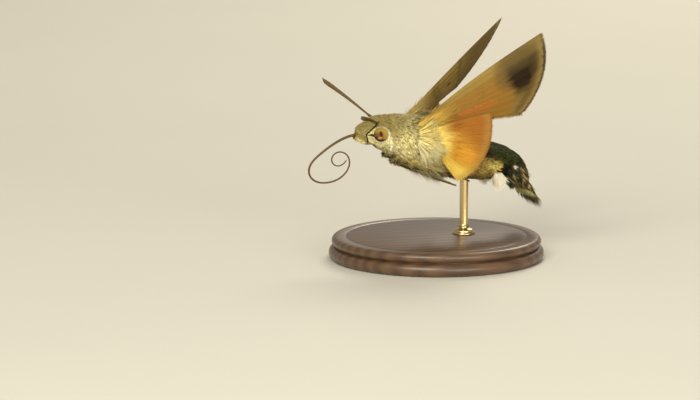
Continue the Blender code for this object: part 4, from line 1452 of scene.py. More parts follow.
def wing_mesh(name, wing, pleats):
    columns = wing_columns(wing.veins)
    start = wing.cell[0]
    rows = np.linspace(WING_FROM, 1, WING_ROWS)
    rows = np.unique(np.concatenate((rows, start + np.linspace(-0.06, 0.06, 19), (1 - WING_EDGE,))))
    along, chord = np.meshgrid(rows, columns, indexing="ij")
    middle = wing.place(along, chord)
    ridge = wing.ridge(along, chord)
    veins = np.array([vein for vein, _ in wing.veins])
    gaps = np.abs(chord[..., None] - veins).min(-1)
    pleat = np.cos(np.clip(gaps / 0.055, 0, 1) * math.pi) * pleats * MM * smooth_step(along / 0.3)
    rim = np.clip(np.minimum.reduce((chord, 1 - chord, 1 - along)) / WING_EDGE, 0, 1)
    half = (MEMBRANE / 2 + VEIN_HEIGHT * ridge) * (0.35 + 0.65 * rim)
    middle = middle + wing.upper * pleat[..., None]
    upper = middle + wing.upper * half[..., None]
    under = middle - wing.upper * half[..., None]
    count, wide = along.shape
    points = np.concatenate((upper.reshape(-1, 3), under.reshape(-1, 3)))
    index = np.arange(count * wide).reshape(count, wide)
    top = rows_of(index[:-1, :-1], index[1:, :-1], index[1:, 1:], index[:-1, 1:]).reshape(-1, 4)
    loop = np.concatenate((index[0, :-1], index[:-1, -1], index[-1, :0:-1], index[:0:-1, 0]))
    after = np.roll(loop, -1)
    wall = rows_of(loop, after, after + count * wide, loop + count * wide)
    faces = np.concatenate((top, top[:, ::-1] + count * wide, wall))
    if signed_volume(points - points.mean(0), faces) < 0:
        faces = faces[:, ::-1]
    mesh = bpy.data.meshes.new(name)
    mesh.from_pydata(points.tolist(), [], faces.tolist())
    mesh.shade_smooth()
    shares = rows_of(along.ravel(), chord.ravel(), 1.0)
    set_vectors(mesh, "sheet", np.concatenate((shares, shares * (1, 1, 0))))
    ridges = rows_of(ridge.ravel(), 0.5, 0.0)
    set_vectors(mesh, "vein", np.concatenate((ridges, ridges)))
    return mesh


print("rows", WING_ROWS, "from", WING_FROM)

# %% [markdown]
# A wing's colour lies in its scales, which stand in rows across it. Seen from a step away they make a soft
# grain that runs from root to margin: broad streaks, and fine rows that also give the surface its relief.
# Both wings share that, and each has a painter for the colours of its two sides.

# %% A wing's finish
def wing_finish(name, paint, coarse, fine, wander, vein_share, vein_colour):
    finish = Finish(name, Roughness=0.62, Specular_IOR_Level=0.10)
    along, chord, upper = finish.attribute("sheet")
    ridge, tone, _ = finish.attribute("vein")
    broad = finish.noise(finish.vector(along * 2.2, chord * coarse, 0.0), 1.0, 3.0)
    rows = finish.noise(finish.vector(along * 26.0, chord * fine, 0.0), 1.0, 3.0, 0.65)
    under, above = paint(finish, along, chord, (broad - 0.5) * wander)
    colour = finish.layers(under, (upper, above), (ridge * vein_share, vein_colour))
    brightness = (0.62 + rows * 0.60 + broad * 0.16) * (0.60 + tone * 0.80)
    finish.colour(finish.shade(colour, brightness))
    finish.bump(rows + broad * 0.3, 0.03 * MM)
    return finish


print("wing finish ready")

# %% [markdown]
# The forewing is orange brown below, yellower at its base, with a black patch before the tip. Above it is
# brown with thin dark wavy lines and one black dot.

# %% Colours of the forewing
FORE_UNDER = {
    "base": (0.76, 0.52, 0.105), "middle": (0.250, 0.128, 0.020), "flush": (0.40, 0.120, 0.022),
    "front": (0.27, 0.180, 0.042), "outer": (0.185, 0.122, 0.032), "veil": (0.090, 0.060, 0.020),
    "patch": (0.018, 0.010, 0.003), "tip": (0.045, 0.030, 0.009), "corner": (0.060, 0.030, 0.009),
    "margin": (0.21, 0.145, 0.050),
}
FORE_ABOVE = {
    "middle": (0.26, 0.170, 0.042), "outer": (0.140, 0.088, 0.024), "base": (0.50, 0.36, 0.120),
    "line": (0.060, 0.040, 0.014), "dot": (0.020, 0.014, 0.006), "margin": (0.24, 0.18, 0.08),
}
FORE_LINES = ((0.33, 0.010), (0.37, 0.007), (0.60, 0.012))
FORE_VEIN = (0.090, 0.050, 0.014)


def wavy_line(along, chord, wave, middle, width):
    bent = along + (chord * 9.0).math("SINE") * 0.018 + wave * 0.12
    return bent.between(middle - width, middle + width, 0.045)


def paint_forewing(finish, along, chord, wave):
    slanted = along - chord * 0.2
    patch = (slanted + wave * 0.5).above(0.665, 0.08) * (along + wave * 0.3).below(0.93, 0.08)
    patch = patch * (chord + wave * 0.4).between(0.20, 0.64, 0.30)
    under = finish.layers(
        FORE_UNDER["base"],
        ((along + wave).above(0.20, 0.24), FORE_UNDER["middle"]),
        (spot(along, chord, (0.44, 0.66), (0.20, 0.15), 1.2) * 0.6, FORE_UNDER["flush"]),
        ((chord + wave * 0.3).below(0.14, 0.20), FORE_UNDER["front"]),
        ((slanted + wave * 0.4).above(0.66, 0.16), FORE_UNDER["outer"]),
        (spot(along, chord, (0.79, 0.24), (0.17, 0.28), 1.0) * 0.6, FORE_UNDER["veil"]),
        (patch, FORE_UNDER["patch"]),
        (spot(along, chord, (0.94, 0.30), (0.06, 0.15), 0.9) * 0.6, FORE_UNDER["tip"]),
        (spot(along, chord, (0.97, 0.76), (0.08, 0.30), 1.0) * 0.45, FORE_UNDER["corner"]),
        (along.above(0.965, 0.05) * 0.8, FORE_UNDER["margin"]),
    )
    lines = [(wavy_line(along, chord, wave, *line) * 0.6, FORE_ABOVE["line"]) for line in FORE_LINES]
    above = finish.layers(
        FORE_ABOVE["middle"],
        ((along + wave).above(0.62, 0.30), FORE_ABOVE["outer"]),
        ((along + wave).below(0.22, 0.20), FORE_ABOVE["base"]),
        *lines,
        (spot(along, chord, (0.47, 0.30), (0.022, 0.035)), FORE_ABOVE["dot"]),
        (along.above(0.975, 0.02), FORE_ABOVE["margin"]),
    )
    return under, above


forewing_finish = wing_finish("forewing", paint_forewing, 9.0, 90.0, 0.30, 0.22, FORE_VEIN)
print("forewing finish", len(forewing_finish.tree.nodes), "nodes")

# %% [markdown]
# The hindwing is yellow at its root and orange beyond, redder towards its front. Above it is dark at the
# root and along the margin.

# %% Colours of the hindwing
HIND_UNDER = {
    "base": (0.94, 0.80, 0.23), "orange": (0.51, 0.252, 0.026), "front": (0.29, 0.100, 0.016),
    "glow": (0.60, 0.27, 0.028), "hind": (0.70, 0.50, 0.09), "margin": (0.36, 0.21, 0.055),
}
HIND_ABOVE = {
    "orange": (0.56, 0.21, 0.026), "margin": (0.10, 0.050, 0.016), "base": (0.085, 0.055, 0.018),
    "front": (0.150, 0.100, 0.035),
}
HIND_VEIN = (0.30, 0.14, 0.028)


def paint_hindwing(finish, along, chord, wave):
    under = finish.layers(
        HIND_UNDER["base"],
        ((along + wave).above(0.35, 0.40), HIND_UNDER["orange"]),
        ((along * 0.8 - chord * 0.9 + wave * 0.5).above(0.22, 0.44) * 0.9, HIND_UNDER["front"]),
        (spot(along, chord, (0.70, 0.62), (0.20, 0.14), 1.2) * 0.7, HIND_UNDER["glow"]),
        ((chord + wave * 0.3).above(0.82, 0.18) * 0.85, HIND_UNDER["hind"]),
        ((along + wave * 0.2).above(0.92, 0.12) * 0.5, HIND_UNDER["margin"]),
    )
    above = finish.layers(
        HIND_ABOVE["orange"],
        ((along + wave * 0.4).above(0.86, 0.12), HIND_ABOVE["margin"]),
        ((along + wave).below(0.50, 0.30), HIND_ABOVE["base"]),
        (chord.below(0.16, 0.12), HIND_ABOVE["front"]),
    )
    return under, above


hindwing_finish = wing_finish("hindwing", paint_hindwing, 6.0, 60.0, 0.40, 0.16, HIND_VEIN)
WING_KINDS = {
    "forewing_scales": {
        "finish": forewing_finish, "pleats": 0.04, "fringe": {"length": 0.62, "count": 1500},
        "hair": {"reach": 0.22, "length": 1.9, "count": 2200},
    },
    "hindwing_scales": {
        "finish": hindwing_finish, "pleats": 0.025, "fringe": {"length": 0.50, "count": 1100},
        "hair": {"reach": 0.50, "length": 1.4, "count": 3000},
    },
}
for name, (wing, slot) in WINGS.items():
    sheet = wing_mesh(name + "_sheet", wing, WING_KINDS[slot]["pleats"])
    piece(sheet.name, sheet, WING_KINDS[slot]["finish"], slot, name)
    print(name, triangles_in(sheet), "triangles")

# %% [markdown]
# The outer and hind margins carry a fringe of hair scales, and long hairs lie over the base of each wing.
# They take the wing's own finish by carrying the same two shares as the place that they grow from, so
# their colour follows the wing. A tone of its own keeps each hair apart from the next.

# %% Hair scales on the wings
FRINGE_OUTER = 0.6
FRINGE_ROOT = 0.997
FRINGE_HIND = 0.86


def wing_blades(name, slot, tone, **how):
    """Blades in their wing's finish, each as light or dark as its tone."""
    own = rows_of(0.0, 0.18 + 0.50 * tone, 0.0)
    made = dress(
        name, WING_KINDS[slot]["finish"], slot, flat=True, extra={"vein": own}, tone=tone, thick=0.05 * MM,
        name_of_place="sheet", **how,
    )
    print(name, made, "triangles")


def fringe(name, wing, slot, length, count, seed):
    """Hair scales along the outer margin, and then along the hind margin."""
    draw = np.random.default_rng(seed)
    share = (np.arange(count) + draw.uniform(-0.3, 0.3, count)) / count
    outer = share < FRINGE_OUTER
    chord = np.where(outer, np.clip(share / FRINGE_OUTER, 0.0, 1.0), FRINGE_ROOT)
    inwards = (share - FRINGE_OUTER) / (1 - FRINGE_OUTER) * FRINGE_HIND
    along = np.where(outer, FRINGE_ROOT, 1 - inwards)
    root = wing.place(along, chord)
    outwards = unit(root - wing.place(along - 0.05, chord))
    hindwards = unit(wing.place(along, FRINGE_ROOT) - wing.place(along, 0.95))
    way = np.where(outer[:, None], outwards, unit(hindwards + outwards * 0.9))
    way = unit(way + draw.normal(size=way.shape) * 0.09)
    size = length * MM * (0.75 + 0.5 * draw.uniform(size=count)) * np.where(outer, 1.0, 1.2)
    wing_blades(
        name + "_fringe", slot, tone=draw.uniform(size=count), root=root - way * 0.12 * MM, way=way,
        out=np.broadcast_to(wing.upper, root.shape), length=size, width=0.09 * MM, lift=0.05, fall=0.08,
        place=rows_of(along * 0.95, chord, 0.0), spread=rows_of(share, along), shares=(0.35,),
    )


def base_hair(name, wing, slot, reach, length, count, seed):
    """Hairs over both faces of a wing's base, which thin out towards the reach."""
    draw = np.random.default_rng(seed)
    first, second = even_pairs(count, 0.35)
    along = 0.01 + reach * first**1.8
    chord = 0.01 + 0.97 * second
    face = draw.choice((-1.0, 1.0), count)[:, None]
    root = wing.place(along, chord)
    ray = unit(wing.place(along + 0.1, chord) - root)
    hindwards = unit(wing.place(along, chord + 0.03) - wing.place(along, chord - 0.03))
    way = unit(ray + hindwards * (0.10 + draw.normal(size=(count, 1)) * 0.24))
    size = length * MM * draw.uniform(0.35, 1.15, count)
    wing_blades(
        name + "_hair", slot, tone=draw.uniform(size=count), root=root, way=way, out=wing.upper * face,
        length=size, width=0.07 * MM, lift=0.12, fall=0.09, shares=(0.25, 0.65), fullness=(1.0, 0.7),
        place=rows_of(along + 0.04, chord, face[:, 0] > 0), spread=rows_of(along, chord),
    )


for number, (name, (wing, slot)) in enumerate(WINGS.items()):
    fringe(name, wing, slot, **WING_KINDS[slot]["fringe"], seed=61 + number)
    base_hair(name, wing, slot, **WING_KINDS[slot]["hair"], seed=66 + number)

# %% [markdown]
# Bursts of long hair hide the hinge: cream and yellow on the flank, where the light catches them, and brown
# over the wings. They root in the thorax. Each burst fans out, so that its upper hairs run up the forewing
# and its lower ones down the hindwing.

# %% Finish of the root hair
HAIR_CREAM = (1.0, 0.94, 0.60)
HAIR_YELLOW = (0.96, 0.80, 0.27)
HAIR_SHADED = (0.30, 0.19, 0.045)
HAIR_BROWN = (0.22, 0.16, 0.055)
HAIR_STRAW = (0.62, 0.52, 0.24)
hair_finish = Finish("wing_root_hair", Roughness=0.55, Specular_IOR_Level=0.25)
tip, tone, _ = hair_finish.attribute("tuft")
yellow, brown, _ = hair_finish.attribute("place")
clump = hair_finish.noise(hair_finish.position(), 1500.0, 2.0)
hair_colour = hair_finish.layers(
    HAIR_CREAM,
    ((yellow + clump - 0.5).above(0.35, 0.6), HAIR_YELLOW),
    (tone.below(0.20, 0.1) * 0.7, HAIR_SHADED),
    (brown, HAIR_BROWN),
    (brown * tone.above(0.7, 0.2), HAIR_STRAW),
)
hair_finish.colour(hair_finish.shade(hair_colour, 0.50 + tip * 0.40 + tone * 0.45))
print("root hair finish ready")

# %% Hair at the wing roots
ROOT_HAIR = (
    {"name": "cream", "distance": (7.1, 9.2), "angle": (-14, 38), "length": 3.0, "count": 3800,
     "fan": (-0.75, 1.30), "raised": (0.62, 0.85), "brown": 0.0, "width": 0.065},
    {"name": "low", "distance": (7.9, 11.2), "angle": (-34, 8), "length": 2.5, "count": 3400,
     "fan": (-0.75, -0.15), "raised": (0.18, 0.34), "brown": 0.0, "width": 0.065},
    {"name": "brown", "distance": (7.4, 11.0), "angle": (42, 74), "length": 2.3, "count": 2600,
     "fan": (-0.10, 0.15), "raised": (0.95, 0.45), "brown": 1.0, "width": 0.07},
)


def root_hair(row, side):
    """Everything that differs from hair to hair in one burst."""
    draw = np.random.default_rng(71 + side)
    first, second = even_pairs(row["count"], 0.4)
    height = 0.5 + (second - 0.5) * np.sqrt(1 - (2 * first - 1) ** 2 * 0.8)
    distance, angle = flank_roots(side, row["distance"], row["angle"], first, height)
    aft, around, out = skin_frame(distance, angle)
    root = on_body(distance, angle)
    low_turn, high_turn = row["fan"]
    flat, steep = row["raised"]
    wander = waves(root, 0.7 * MM, 73)[:, None] * 0.22 + draw.normal(size=(len(root), 1)) * 0.16
    turn = (low_turn + (high_turn - low_turn) * height)[:, None] + wander
    way = unit(aft * 0.8 + around * turn * side + out * (flat + (steep - flat) * height)[:, None])
    tone = draw.uniform(size=len(root))
    return {
        "root": root, "way": way, "out": out, "tone": tone,
        "length": row["length"] * MM * draw.uniform(0.45, 1.15, len(root)),
        "place": rows_of(height, row["brown"], 0.0),
        "spread": rows_of(distance, angle),
    }


for row in ROOT_HAIR:
    for side_name, side in SIDES.items():
        dress(
            f"root_hair_{row['name']}_{side_name}", hair_finish, "thorax_fur", width=row["width"] * MM,
            thick=0.03 * MM, lift=0.20, fall=0.26, shares=(0.3, 0.7), fullness=(1.0, 0.7),
            **root_hair(row, side),
        )
print("root hair", 2 * sum(row["count"] for row in ROOT_HAIR), "hairs")

# %% [markdown]
# ## Tail fan and side brushes
#
# The abdomen ends in a fan of long scales that the moth steers with, slim from the side and wide from
# above. The scales are black, with lighter ones along the edges and two pale patches where the light falls
# through. Each is a strap that bends a little, widest past its middle.

# %% Finish of the fan
FAN_AFT = 0.56
FAN_DROP = 0.83
FAN_BLACK = (0.024, 0.023, 0.007)
FAN_BROWN = (0.110, 0.080, 0.024)
FAN_STRAW = (0.34, 0.25, 0.09)
FAN_EDGE = (0.62, 0.47, 0.18)
FAN_FLECK = (0.64, 0.49, 0.19)
FAN_TIP = (0.95, 0.90, 0.42)
FAN_LOW = (0.98, 0.88, 0.48)


def fan_patch(finish, middle, reach):
    """A soft patch in line with the fan, its middle given in millimetres aft and above the body point."""
    across, _, above = finish.parts(finish.position())
    aft = across / MM - (BODY_POINT[0] / MM + middle[0])
    up = above / MM - (BODY_POINT[2] / MM + middle[1])
    return spot(aft * FAN_AFT - up * FAN_DROP, aft * FAN_DROP + up * FAN_AFT, (0, 0), reach, 0.7)


fan_finish = Finish("tail_fan_scales", Roughness=0.5, Specular_IOR_Level=0.12)
_, tone, _ = fan_finish.attribute("tuft")
spread_out, raised_up, _ = fan_finish.attribute("place")
streak = fan_finish.noise(fan_finish.position(), 2400.0, 3.0)
edge_light = abs(raised_up).above(0.60, 0.3) * tone.above(0.42, 0.3)
fleck = fan_finish.noise(fan_finish.position(), 1500.0, 2.0).above(0.54, 0.05) * tone.above(0.25, 0.3)
tip_patch = fan_patch(fan_finish, (12.4, -6.7), (0.80, 0.42)) * tone.above(0.15, 0.2)
fan_colour = fan_finish.layers(
    FAN_BLACK,
    (tone.above(0.55, 0.30), FAN_BROWN),
    (tone.above(0.90, 0.08), FAN_STRAW),
    (edge_light * 0.8, FAN_EDGE),
    (fleck * abs(spread_out).above(0.60, 0.5) * 0.8, FAN_FLECK),
    (tip_patch * raised_up.below(0.30, 0.5), FAN_TIP),
    (fan_patch(fan_finish, (10.7, -5.85), (0.60, 0.25)) * tone.above(0.30, 0.2), FAN_LOW),
)
fan_finish.colour(fan_finish.shade(fan_colour, 0.6 + streak * 0.8))
print("fan finish", len(fan_finish.tree.nodes), "nodes")

# %% Tail fan
FAN_ROOT = (11.0, 0.0, -3.45)
FAN_WAY = moth_way(FAN_AFT, 0, -FAN_DROP)
FAN_UPPER = moth_way(FAN_DROP, 0, FAN_AFT)
FAN_COUNT = 1500
FAN_LENGTH = 6.9 * MM
FAN_LAYERS = (0.55, 0.75, 0.9, 1.0)
FAN_HALF_WIDTH = 1.45 * MM
FAN_HALF_DEPTH = 0.95 * MM
FAN_SPREAD = math.radians(24)

draw = np.random.default_rng(81)
first, second = even_pairs(FAN_COUNT, 0.2)
spread = 2 * first - 1
raised = (2 * second - 1) * np.sqrt(1 - spread**2 * 0.75)
root = moth_point(*FAN_ROOT) + LEFT * (spread * FAN_HALF_WIDTH)[:, None]
root = root + FAN_UPPER * (raised * FAN_HALF_DEPTH)[:, None]
root = root - FAN_WAY * (0.9 * MM * np.abs(raised))[:, None]
angle = spread * FAN_SPREAD + draw.normal(size=FAN_COUNT) * 0.035
tilt = -raised * 0.12 + draw.normal(size=FAN_COUNT) * 0.03
way = unit(FAN_WAY * np.cos(angle)[:, None] + LEFT * np.sin(angle)[:, None] + FAN_UPPER * tilt[:, None])
inner = 1.04 - np.abs(raised) * 0.42 - 0.16 * spread**2
size = FAN_LENGTH * inner * draw.choice(FAN_LAYERS, FAN_COUNT) * draw.uniform(0.9, 1.0, FAN_COUNT)
fan_out = unit(FAN_UPPER + LEFT * (spread * 0.5)[:, None] + draw.normal(size=root.shape) * 0.15)
dress(
    "tail_fan_scales", fan_finish, "tail_scales", "tail_fan", root=root, way=way, out=fan_out, length=size,
    width=draw.uniform(0.20, 0.32, FAN_COUNT) * MM, thick=0.03 * MM, lift=0.02, fall=0.05,
    place=rows_of(spread, raised, 0.0), tone=draw.uniform(size=FAN_COUNT), spread=rows_of(spread, raised),
    shares=(0.25, 0.65, 0.88), fullness=(0.8, 1.0, 0.62),
)
print("tail fan", FAN_COUNT, "scales")

# %% [markdown]
# Along each flank stand brushes of looser scales: a white one, two black rows behind it, and a brown one
# before the fan. Each row is a patch of roots between two distances and two angles.

# %% Side brushes
BRUSHES = {
    "white": {"rows": ((19.9, 21.1, -28, -50),), "way": (0.22, 0.22, -0.94), "length": 2.6, "count": 1000,
              "splay": 0.20, "loose": 0.26, "colour": (0.97, 0.92, 0.76), "light": (1.0, 0.97, 0.84),
              "lit": 0.6},
    "black": {"rows": ((21.8, 23.4, -36, -50), (21.9, 23.2, -6, -20)), "way": (0.52, 0.30, -0.78),
              "length": 2.4, "count": 1100, "splay": 0.20, "loose": 0.12,
              "colour": (0.020, 0.021, 0.011), "light": (0.66, 0.51, 0.21), "lit": 0.6},
    "rear": {"rows": ((23.2, 24.9, -34, 30),), "way": (0.56, 0.06, -0.80), "length": 2.3, "count": 700,
             "splay": 0.05, "loose": 0.12, "colour": (0.050, 0.034, 0.012), "light": (0.66, 0.51, 0.21),
             "lit": 0.9},
}


def brush_row(brush, side, number, near, far_end, low_angle, high_angle):
    """Everything that differs from scale to scale in one row of a brush."""
    draw = np.random.default_rng(91 + number)
    first, second = even_pairs(brush["count"], 0.1)
    distance, angle = flank_roots(side, (near, far_end), (low_angle, high_angle), first, second)
    aft, _, out = skin_frame(distance, angle)
    root = on_body(distance, angle, -0.1 * MM)
    way = moth_way(*brush["way"], side) + out * brush["splay"] + aft * (first - 0.5)[:, None] * 0.20
    rounded = 1 - np.abs(2 * first - 1) * 0.45
    return {
        "root": root,
        "way": unit(way + draw.normal(size=root.shape) * brush["loose"]),
        "out": unit(out + np.array((0.0, -0.8 * side, 0.7))),
        "length": brush["length"] * MM * draw.uniform(0.4, 1.0, len(root)) * rounded,
        "tone": draw.uniform(size=len(root)),
        "place": place_numbers(distance, angle),
        "spread": rows_of(distance, angle),
    }


for name, brush in BRUSHES.items():
    finish = Finish("brush_" + name, Roughness=0.55, Specular_IOR_Level=0.12)
    tip, tone, _ = finish.attribute("tuft")
    mixed = finish.mix(tone.above(0.84, 0.12) * brush["lit"], brush["colour"], brush["light"])
    finish.colour(finish.shade(mixed, 0.80 + tip * 0.18 + tone * 0.12))
    for side_name, side in SIDES.items():
        rows = [brush_row(brush, side, number, *row) for number, row in enumerate(brush["rows"])]
        whole = {label: np.concatenate([row[label] for row in rows]) for label in rows[0]}
        dress(
            f"brush_{name}_{side_name}", finish, "tail_scales", flat=True, width=0.10 * MM, thick=0.04 * MM,
            lift=0.06, fall=0.12, shares=(0.4, 0.8), fullness=(1.0, 0.8), **whole,
        )
print(len(BRUSHES), "kinds of brush")

# %% [markdown]
# ## Legs
#
# In flight the six legs are tucked along the underside. Each is a slim tube with swellings at its joints,
# covered with flat scales. The legs' bends are places below the body, given as how far aft, how far out
# and how far below its surface.

# %% Leg paths
LEGS = {
    "leg_front": ((-5.6, 1.05, -1.0), (-6.7, 1.55, 0.0), (-4.0, 1.75, 0.0), (-0.8, 1.65, 0.0)),
    "leg_middle": ((-4.3, 0.75, -1.0), (-5.6, 0.72, 0.0), (-2.0, 0.72, 0.0), (3.0, 0.80, 0.8)),
    "leg_hind": ((-2.6, 2.30, -1.0), (-4.2, 2.75, 0.0), (-0.2, 2.65, 0.0), (3.9, 2.30, 0.3)),
}
LEG_CLEAR = 0.34
LEG_STEPS = 90
LEG_SHARES = (0, 0.05, 0.24, 0.29, 0.34, 0.48, 0.60, 0.635, 0.67, 0.80, 0.93, 1.0)
LEG_RADII = (0.26, 0.30, 0.26, 0.22, 0.24, 0.22, 0.17, 0.15, 0.13, 0.11, 0.09, 0.05)
LINE_PLACES = 600
aft_line = np.linspace(-SNOUT, BODY_END, LINE_PLACES)
aft_places = station(aft_line, AFT)


def under_body(aft, out, drop):
    """A place this many millimetres below the underside of the solids, out from the middle plane."""
    distance = np.interp(aft * MM, aft_places, aft_line)
    angle = -math.acos(min(0.98, out * MM / station(distance, WIDTH)))
    floor = on_body(distance, angle, coat_depth(distance))
    return floor + unit(floor - centre(distance)) * drop * MM


def leg_path(joints):
    hip, knee, ankle, tip = joints
    knots = [under_body(*hip)]
    for first, last, count in ((knee, ankle, 4), (ankle, tip, 5)):
        for share in np.arange(count) / count:
            aft, out, drop = np.array(first) + (np.array(last) - np.array(first)) * share
            knots.append(under_body(aft, out, drop + LEG_CLEAR))
    knots.append(under_body(tip[0], tip[1], tip[2] + LEG_CLEAR))
    bend = knots[1] + (knots[1] - knots[2]) * 0.08
    return through([knots[0], (knots[0] + bend) / 2, bend, *knots[2:]], LEG_STEPS)


print("leg paths ready")

# %% [markdown]
# A leg's scales are brown, with paler and darker ones between them. A light stripe runs along each leg's
# upper side, and the hind legs are straw-coloured down to the end of the shin. Spurs and claws are slim
# cones. Their tree sets one at each point of a mesh and turns it to a way stored there.

# %% Finish of the legs
LEG_BROWN = (0.115, 0.076, 0.022)
LEG_PALE = (0.52, 0.42, 0.16)
LEG_DARK = (0.030, 0.019, 0.006)
LEG_STRIPE = (0.54, 0.44, 0.16)
LEG_STRAW = (0.62, 0.51, 0.18)
leg_finish = Finish("leg_scales", Roughness=0.6, Specular_IOR_Level=0.2)
tip, tone, _ = leg_finish.attribute("tuft")
along_leg, upper, hind = leg_finish.attribute("place")
speck = leg_finish.noise(leg_finish.position(), 3000.0, 3.0)
straw = hind * along_leg.below(0.58, 0.12) * tone.above(0.12, 0.1)
leg_colour = leg_finish.layers(
    LEG_BROWN,
    (tone.above(0.74, 0.2), LEG_PALE),
    (tone.below(0.30, 0.1), LEG_DARK),
    (upper.above(0.55, 0.3) * 0.7, LEG_STRIPE),
    (straw * 0.85, LEG_STRAW),
)
leg_finish.colour(leg_finish.shade(leg_colour, 0.60 + speck * 0.6 + tip * 0.3))
print("leg finish ready")

# %% Tree of spines
spine_tree, given, end = new_tree("spines_on_points", Radius=float, Length=float, Material="material")
spine = {"Vertices": 6, "Radius Top": 0.0, "Radius Bottom": given["Radius"], "Depth": given["Length"]}
spine = add_node(spine_tree, "GeometryNodeMeshCone", {"fill_type": "TRIANGLE_FAN"}, spine)
spine_way = add_node(spine_tree, "GeometryNodeInputNamedAttribute", VECTORS, {"Name": "way"})
turn = add_node(spine_tree, "FunctionNodeAlignRotationToVector", {"axis": "Z"}, {"Vector": spine_way})
size = add_node(spine_tree, "GeometryNodeInputNamedAttribute", VECTORS, {"Name": "size"})
spines = {"Points": given["Geometry"], "Instance": spine, "Rotation": turn, "Scale": size}
finish_tree(spine_tree, add_node(spine_tree, "GeometryNodeInstanceOnPoints", {}, spines), given, end)
print("spine tree", len(spine_tree.nodes), "nodes")

# %% [markdown]
# Each shin has one spur half way along and a pair near its end, and each foot ends in two small claws.

# %% Legs with scales and spurs
LEG_SIDES = 16
LEG_SCALES = 2300
LAST_STEP = LEG_STEPS - 1
SPUR_STEPS = [round(share * LAST_STEP) for share in (0.47, 0.62, 0.625, 1, 1)]
SPUR_LEANS = np.array((0.45, 0.5, -0.5, 0.5, -0.5))[:, None]
SPUR_SIZES = np.array(((1, 1, 1), (1, 1, 1.2), (1, 1, 0.9), (0.5, 0.5, 0.3), (0.5, 0.5, 0.3)))


def leg_scales(path, radius, along, across, above, hind):
    """Everything that differs from scale to scale on one leg."""
    draw = np.random.default_rng(101)
    first, second = even_pairs(LEG_SCALES)
    index = np.minimum((first**0.9 * (LAST_STEP - 1)).astype(int), LAST_STEP - 1)
    angle = second * 2 * math.pi
    out = across[index] * np.cos(angle)[:, None] + above[index] * np.sin(angle)[:, None]
    root = path[index] + along[index] * (draw.uniform(size=(LEG_SCALES, 1)) * 0.15 * MM)
    size = np.interp(first, (0, 0.6, 1), (0.62, 0.46, 0.24)) * MM
    return {
        "root": root + out * (radius[index] * 0.9)[:, None],
        "way": unit(along[index] + out * 0.12 + draw.normal(size=root.shape) * 0.08),
        "out": out,
        "length": size * draw.uniform(0.7, 1.3, LEG_SCALES),
        "tone": draw.uniform(size=LEG_SCALES),
        "place": rows_of(first, np.sin(angle), hind),
        "spread": rows_of(first, angle),
    }


for name, joints in LEGS.items():
    for side_name, side in SIDES.items():
        leg_name = f"{name}_{side_name}"
        hind = 1.0 if name == "leg_hind" else 0.0
        path = leg_path(joints) * (1, side, 1)
        radius = np.interp(np.linspace(0, 1, LEG_STEPS), LEG_SHARES, LEG_RADII) * MM
        along, across, above = path_frame(path)
        rings = rings_round(path, across, above, radius[:, None], full_turn(LEG_SIDES))
        limb = tube_mesh(leg_name + "_limb", rings)
        set_vectors(limb, "tuft", (0.2, 0.45, 0.0))
        set_vectors(limb, "place", (0.5, 0.0, hind))
        piece(limb.name, limb, leg_finish, "leg_scales", leg_name)
        dress(
            leg_name + "_scales", leg_finish, "leg_scales", width=0.10 * MM, thick=0.035 * MM, lift=0.10,
            fall=0.08, **leg_scales(path, radius, along, across, above, hind),
        )
        spur_way = along[SPUR_STEPS] - above[SPUR_STEPS] * 0.35 + across[SPUR_STEPS] * SPUR_LEANS * 0.8
        points = bpy.data.meshes.new("spur_points")
        points.from_pydata([tuple(path[step]) for step in SPUR_STEPS], [], [])
        set_vectors(points, "way", unit(spur_way))
        set_vectors(points, "size", SPUR_SIZES)
        spurs = grow(
            leg_name + "_spurs", points, spine_tree, Radius=0.07 * MM, Length=0.75 * MM,
            Material=horn.material,
        )
        piece(spurs.name, spurs, None, "horn")
print("legs", 2 * len(LEGS))

# %% [markdown]
# ## The stand
#
# The moth hovers, so a turned wooden base and a slim brass rod hold it. Both are profiles turned round an
# axis, in millimetres. The base's edge is two round beads, and a fine groove runs round its top. The rod
# ends a little inside the fur, as a real mount does.

# %% Stand
BASE_RADIUS = 15.0
BASE_THICKNESS = 3.2
BASE_BEADS = (
    {"low": 1.85, "high": 3.2, "inset": 1.1, "proud": 0.7},
    {"low": 0.0, "high": 1.75, "inset": 0.8, "proud": 0.8},
)
BEAD_STEPS = 20
GROOVE = {"radius": 12.6, "half": 0.22, "depth": 0.07}
ROD_AFT = 3.6
ROD_PROFILE = (
    (0.02, 3.22), (1.58, 3.22), (1.60, 3.32), (1.56, 3.46), (1.42, 3.54), (1.36, 3.60), (1.40, 3.70),
    (1.22, 3.86), (0.86, 3.98), (0.72, 4.10), (0.70, 4.22), (0.76, 4.30), (0.74, 4.40), (0.62, 4.48),
    (0.60, 4.60), (0.60, 8.0), (0.60, 12.0), (0.60, 12.6), (0.02, 12.9),
)
STAND_SIDES = 96
WOOD_DARK = (0.075, 0.038, 0.018)
WOOD_LIGHT = (0.125, 0.066, 0.031)
BRASS_DARK = (0.58, 0.44, 0.20)
BRASS_LIGHT = (0.72, 0.57, 0.30)


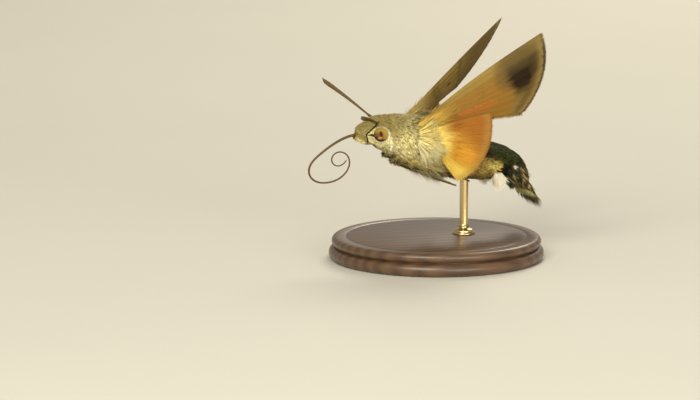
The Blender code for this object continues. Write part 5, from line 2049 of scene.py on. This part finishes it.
def base_profile():
    """Radius and height of the base from the middle of its top: a fine groove, two beads, the underside."""
    profile = [(0.02, BASE_THICKNESS)]
    for share in np.linspace(-1, 1, 9):
        dip = GROOVE["depth"] * math.cos(share * math.pi / 2)
        profile.append((GROOVE["radius"] + GROOVE["half"] * share, BASE_THICKNESS - dip))
    for bead in BASE_BEADS:
        middle = (bead["low"] + bead["high"]) / 2
        half = (bead["high"] - bead["low"]) / 2
        for turn in np.linspace(0, math.pi, BEAD_STEPS):
            radius = BASE_RADIUS - bead["inset"] + bead["proud"] * math.sin(turn)
            profile.append((radius, middle + half * math.cos(turn)))
    return [*profile, (0.02, 0.0)]


def turned(name, profile, middle):
    """A profile of radius and height in millimetres, turned round an upright axis."""
    turns = full_turn(STAND_SIDES)
    rings = [rows_of(radius * np.cos(turns), radius * np.sin(turns), height) for radius, height in profile]
    return tube_mesh(name, np.array(rings) * MM + np.array(middle))


wood = Finish("turned_walnut", Roughness=0.42, Coat_Weight=0.3, Coat_Roughness=0.25)
across, outwards, above = wood.parts(wood.position())
slow = wood.noise(wood.position(), 60.0, 2.0)
bent = wood.vector(across * 0.22, outwards + slow * 0.004, above)
grain_settings = {"wave_type": "BANDS", "bands_direction": "Y"}
grain_sockets = {"Vector": bent, "Scale": 170.0, "Distortion": 3.5, "Detail": 3.0}
year_rings = wood.node("ShaderNodeTexWave", grain_settings, grain_sockets, 1)
pores = wood.noise(wood.vector(across * 0.08, outwards, above), 5200.0, 2.0)
wood_colour = wood.mix(year_rings, WOOD_DARK, WOOD_LIGHT)
wood.colour(wood.shade(wood_colour, 0.80 + pores * 0.4))
wood.bump(pores, 0.012 * MM)

brass = Finish("satin_brass", Metallic=1.0)
across, outwards, above = brass.parts(brass.position())
turning = brass.noise(brass.vector(across * 0.02, outwards * 0.02, above), 9000.0, 2.0)
brass.colour(brass.mix(turning, BRASS_DARK, BRASS_LIGHT))
brass.roughness(0.24 + turning * 0.16)
piece("stand_disc", turned("stand_disc", base_profile(), (0, 0, 0)), wood, "stand_wood", "stand_base")
rod_middle = (float(BODY_POINT[0]) + ROD_AFT * MM, 0, 0)
piece("stand_pillar", turned("stand_pillar", ROD_PROFILE, rod_middle), brass, "stand_metal", "stand_rod")
print("stand dressed")
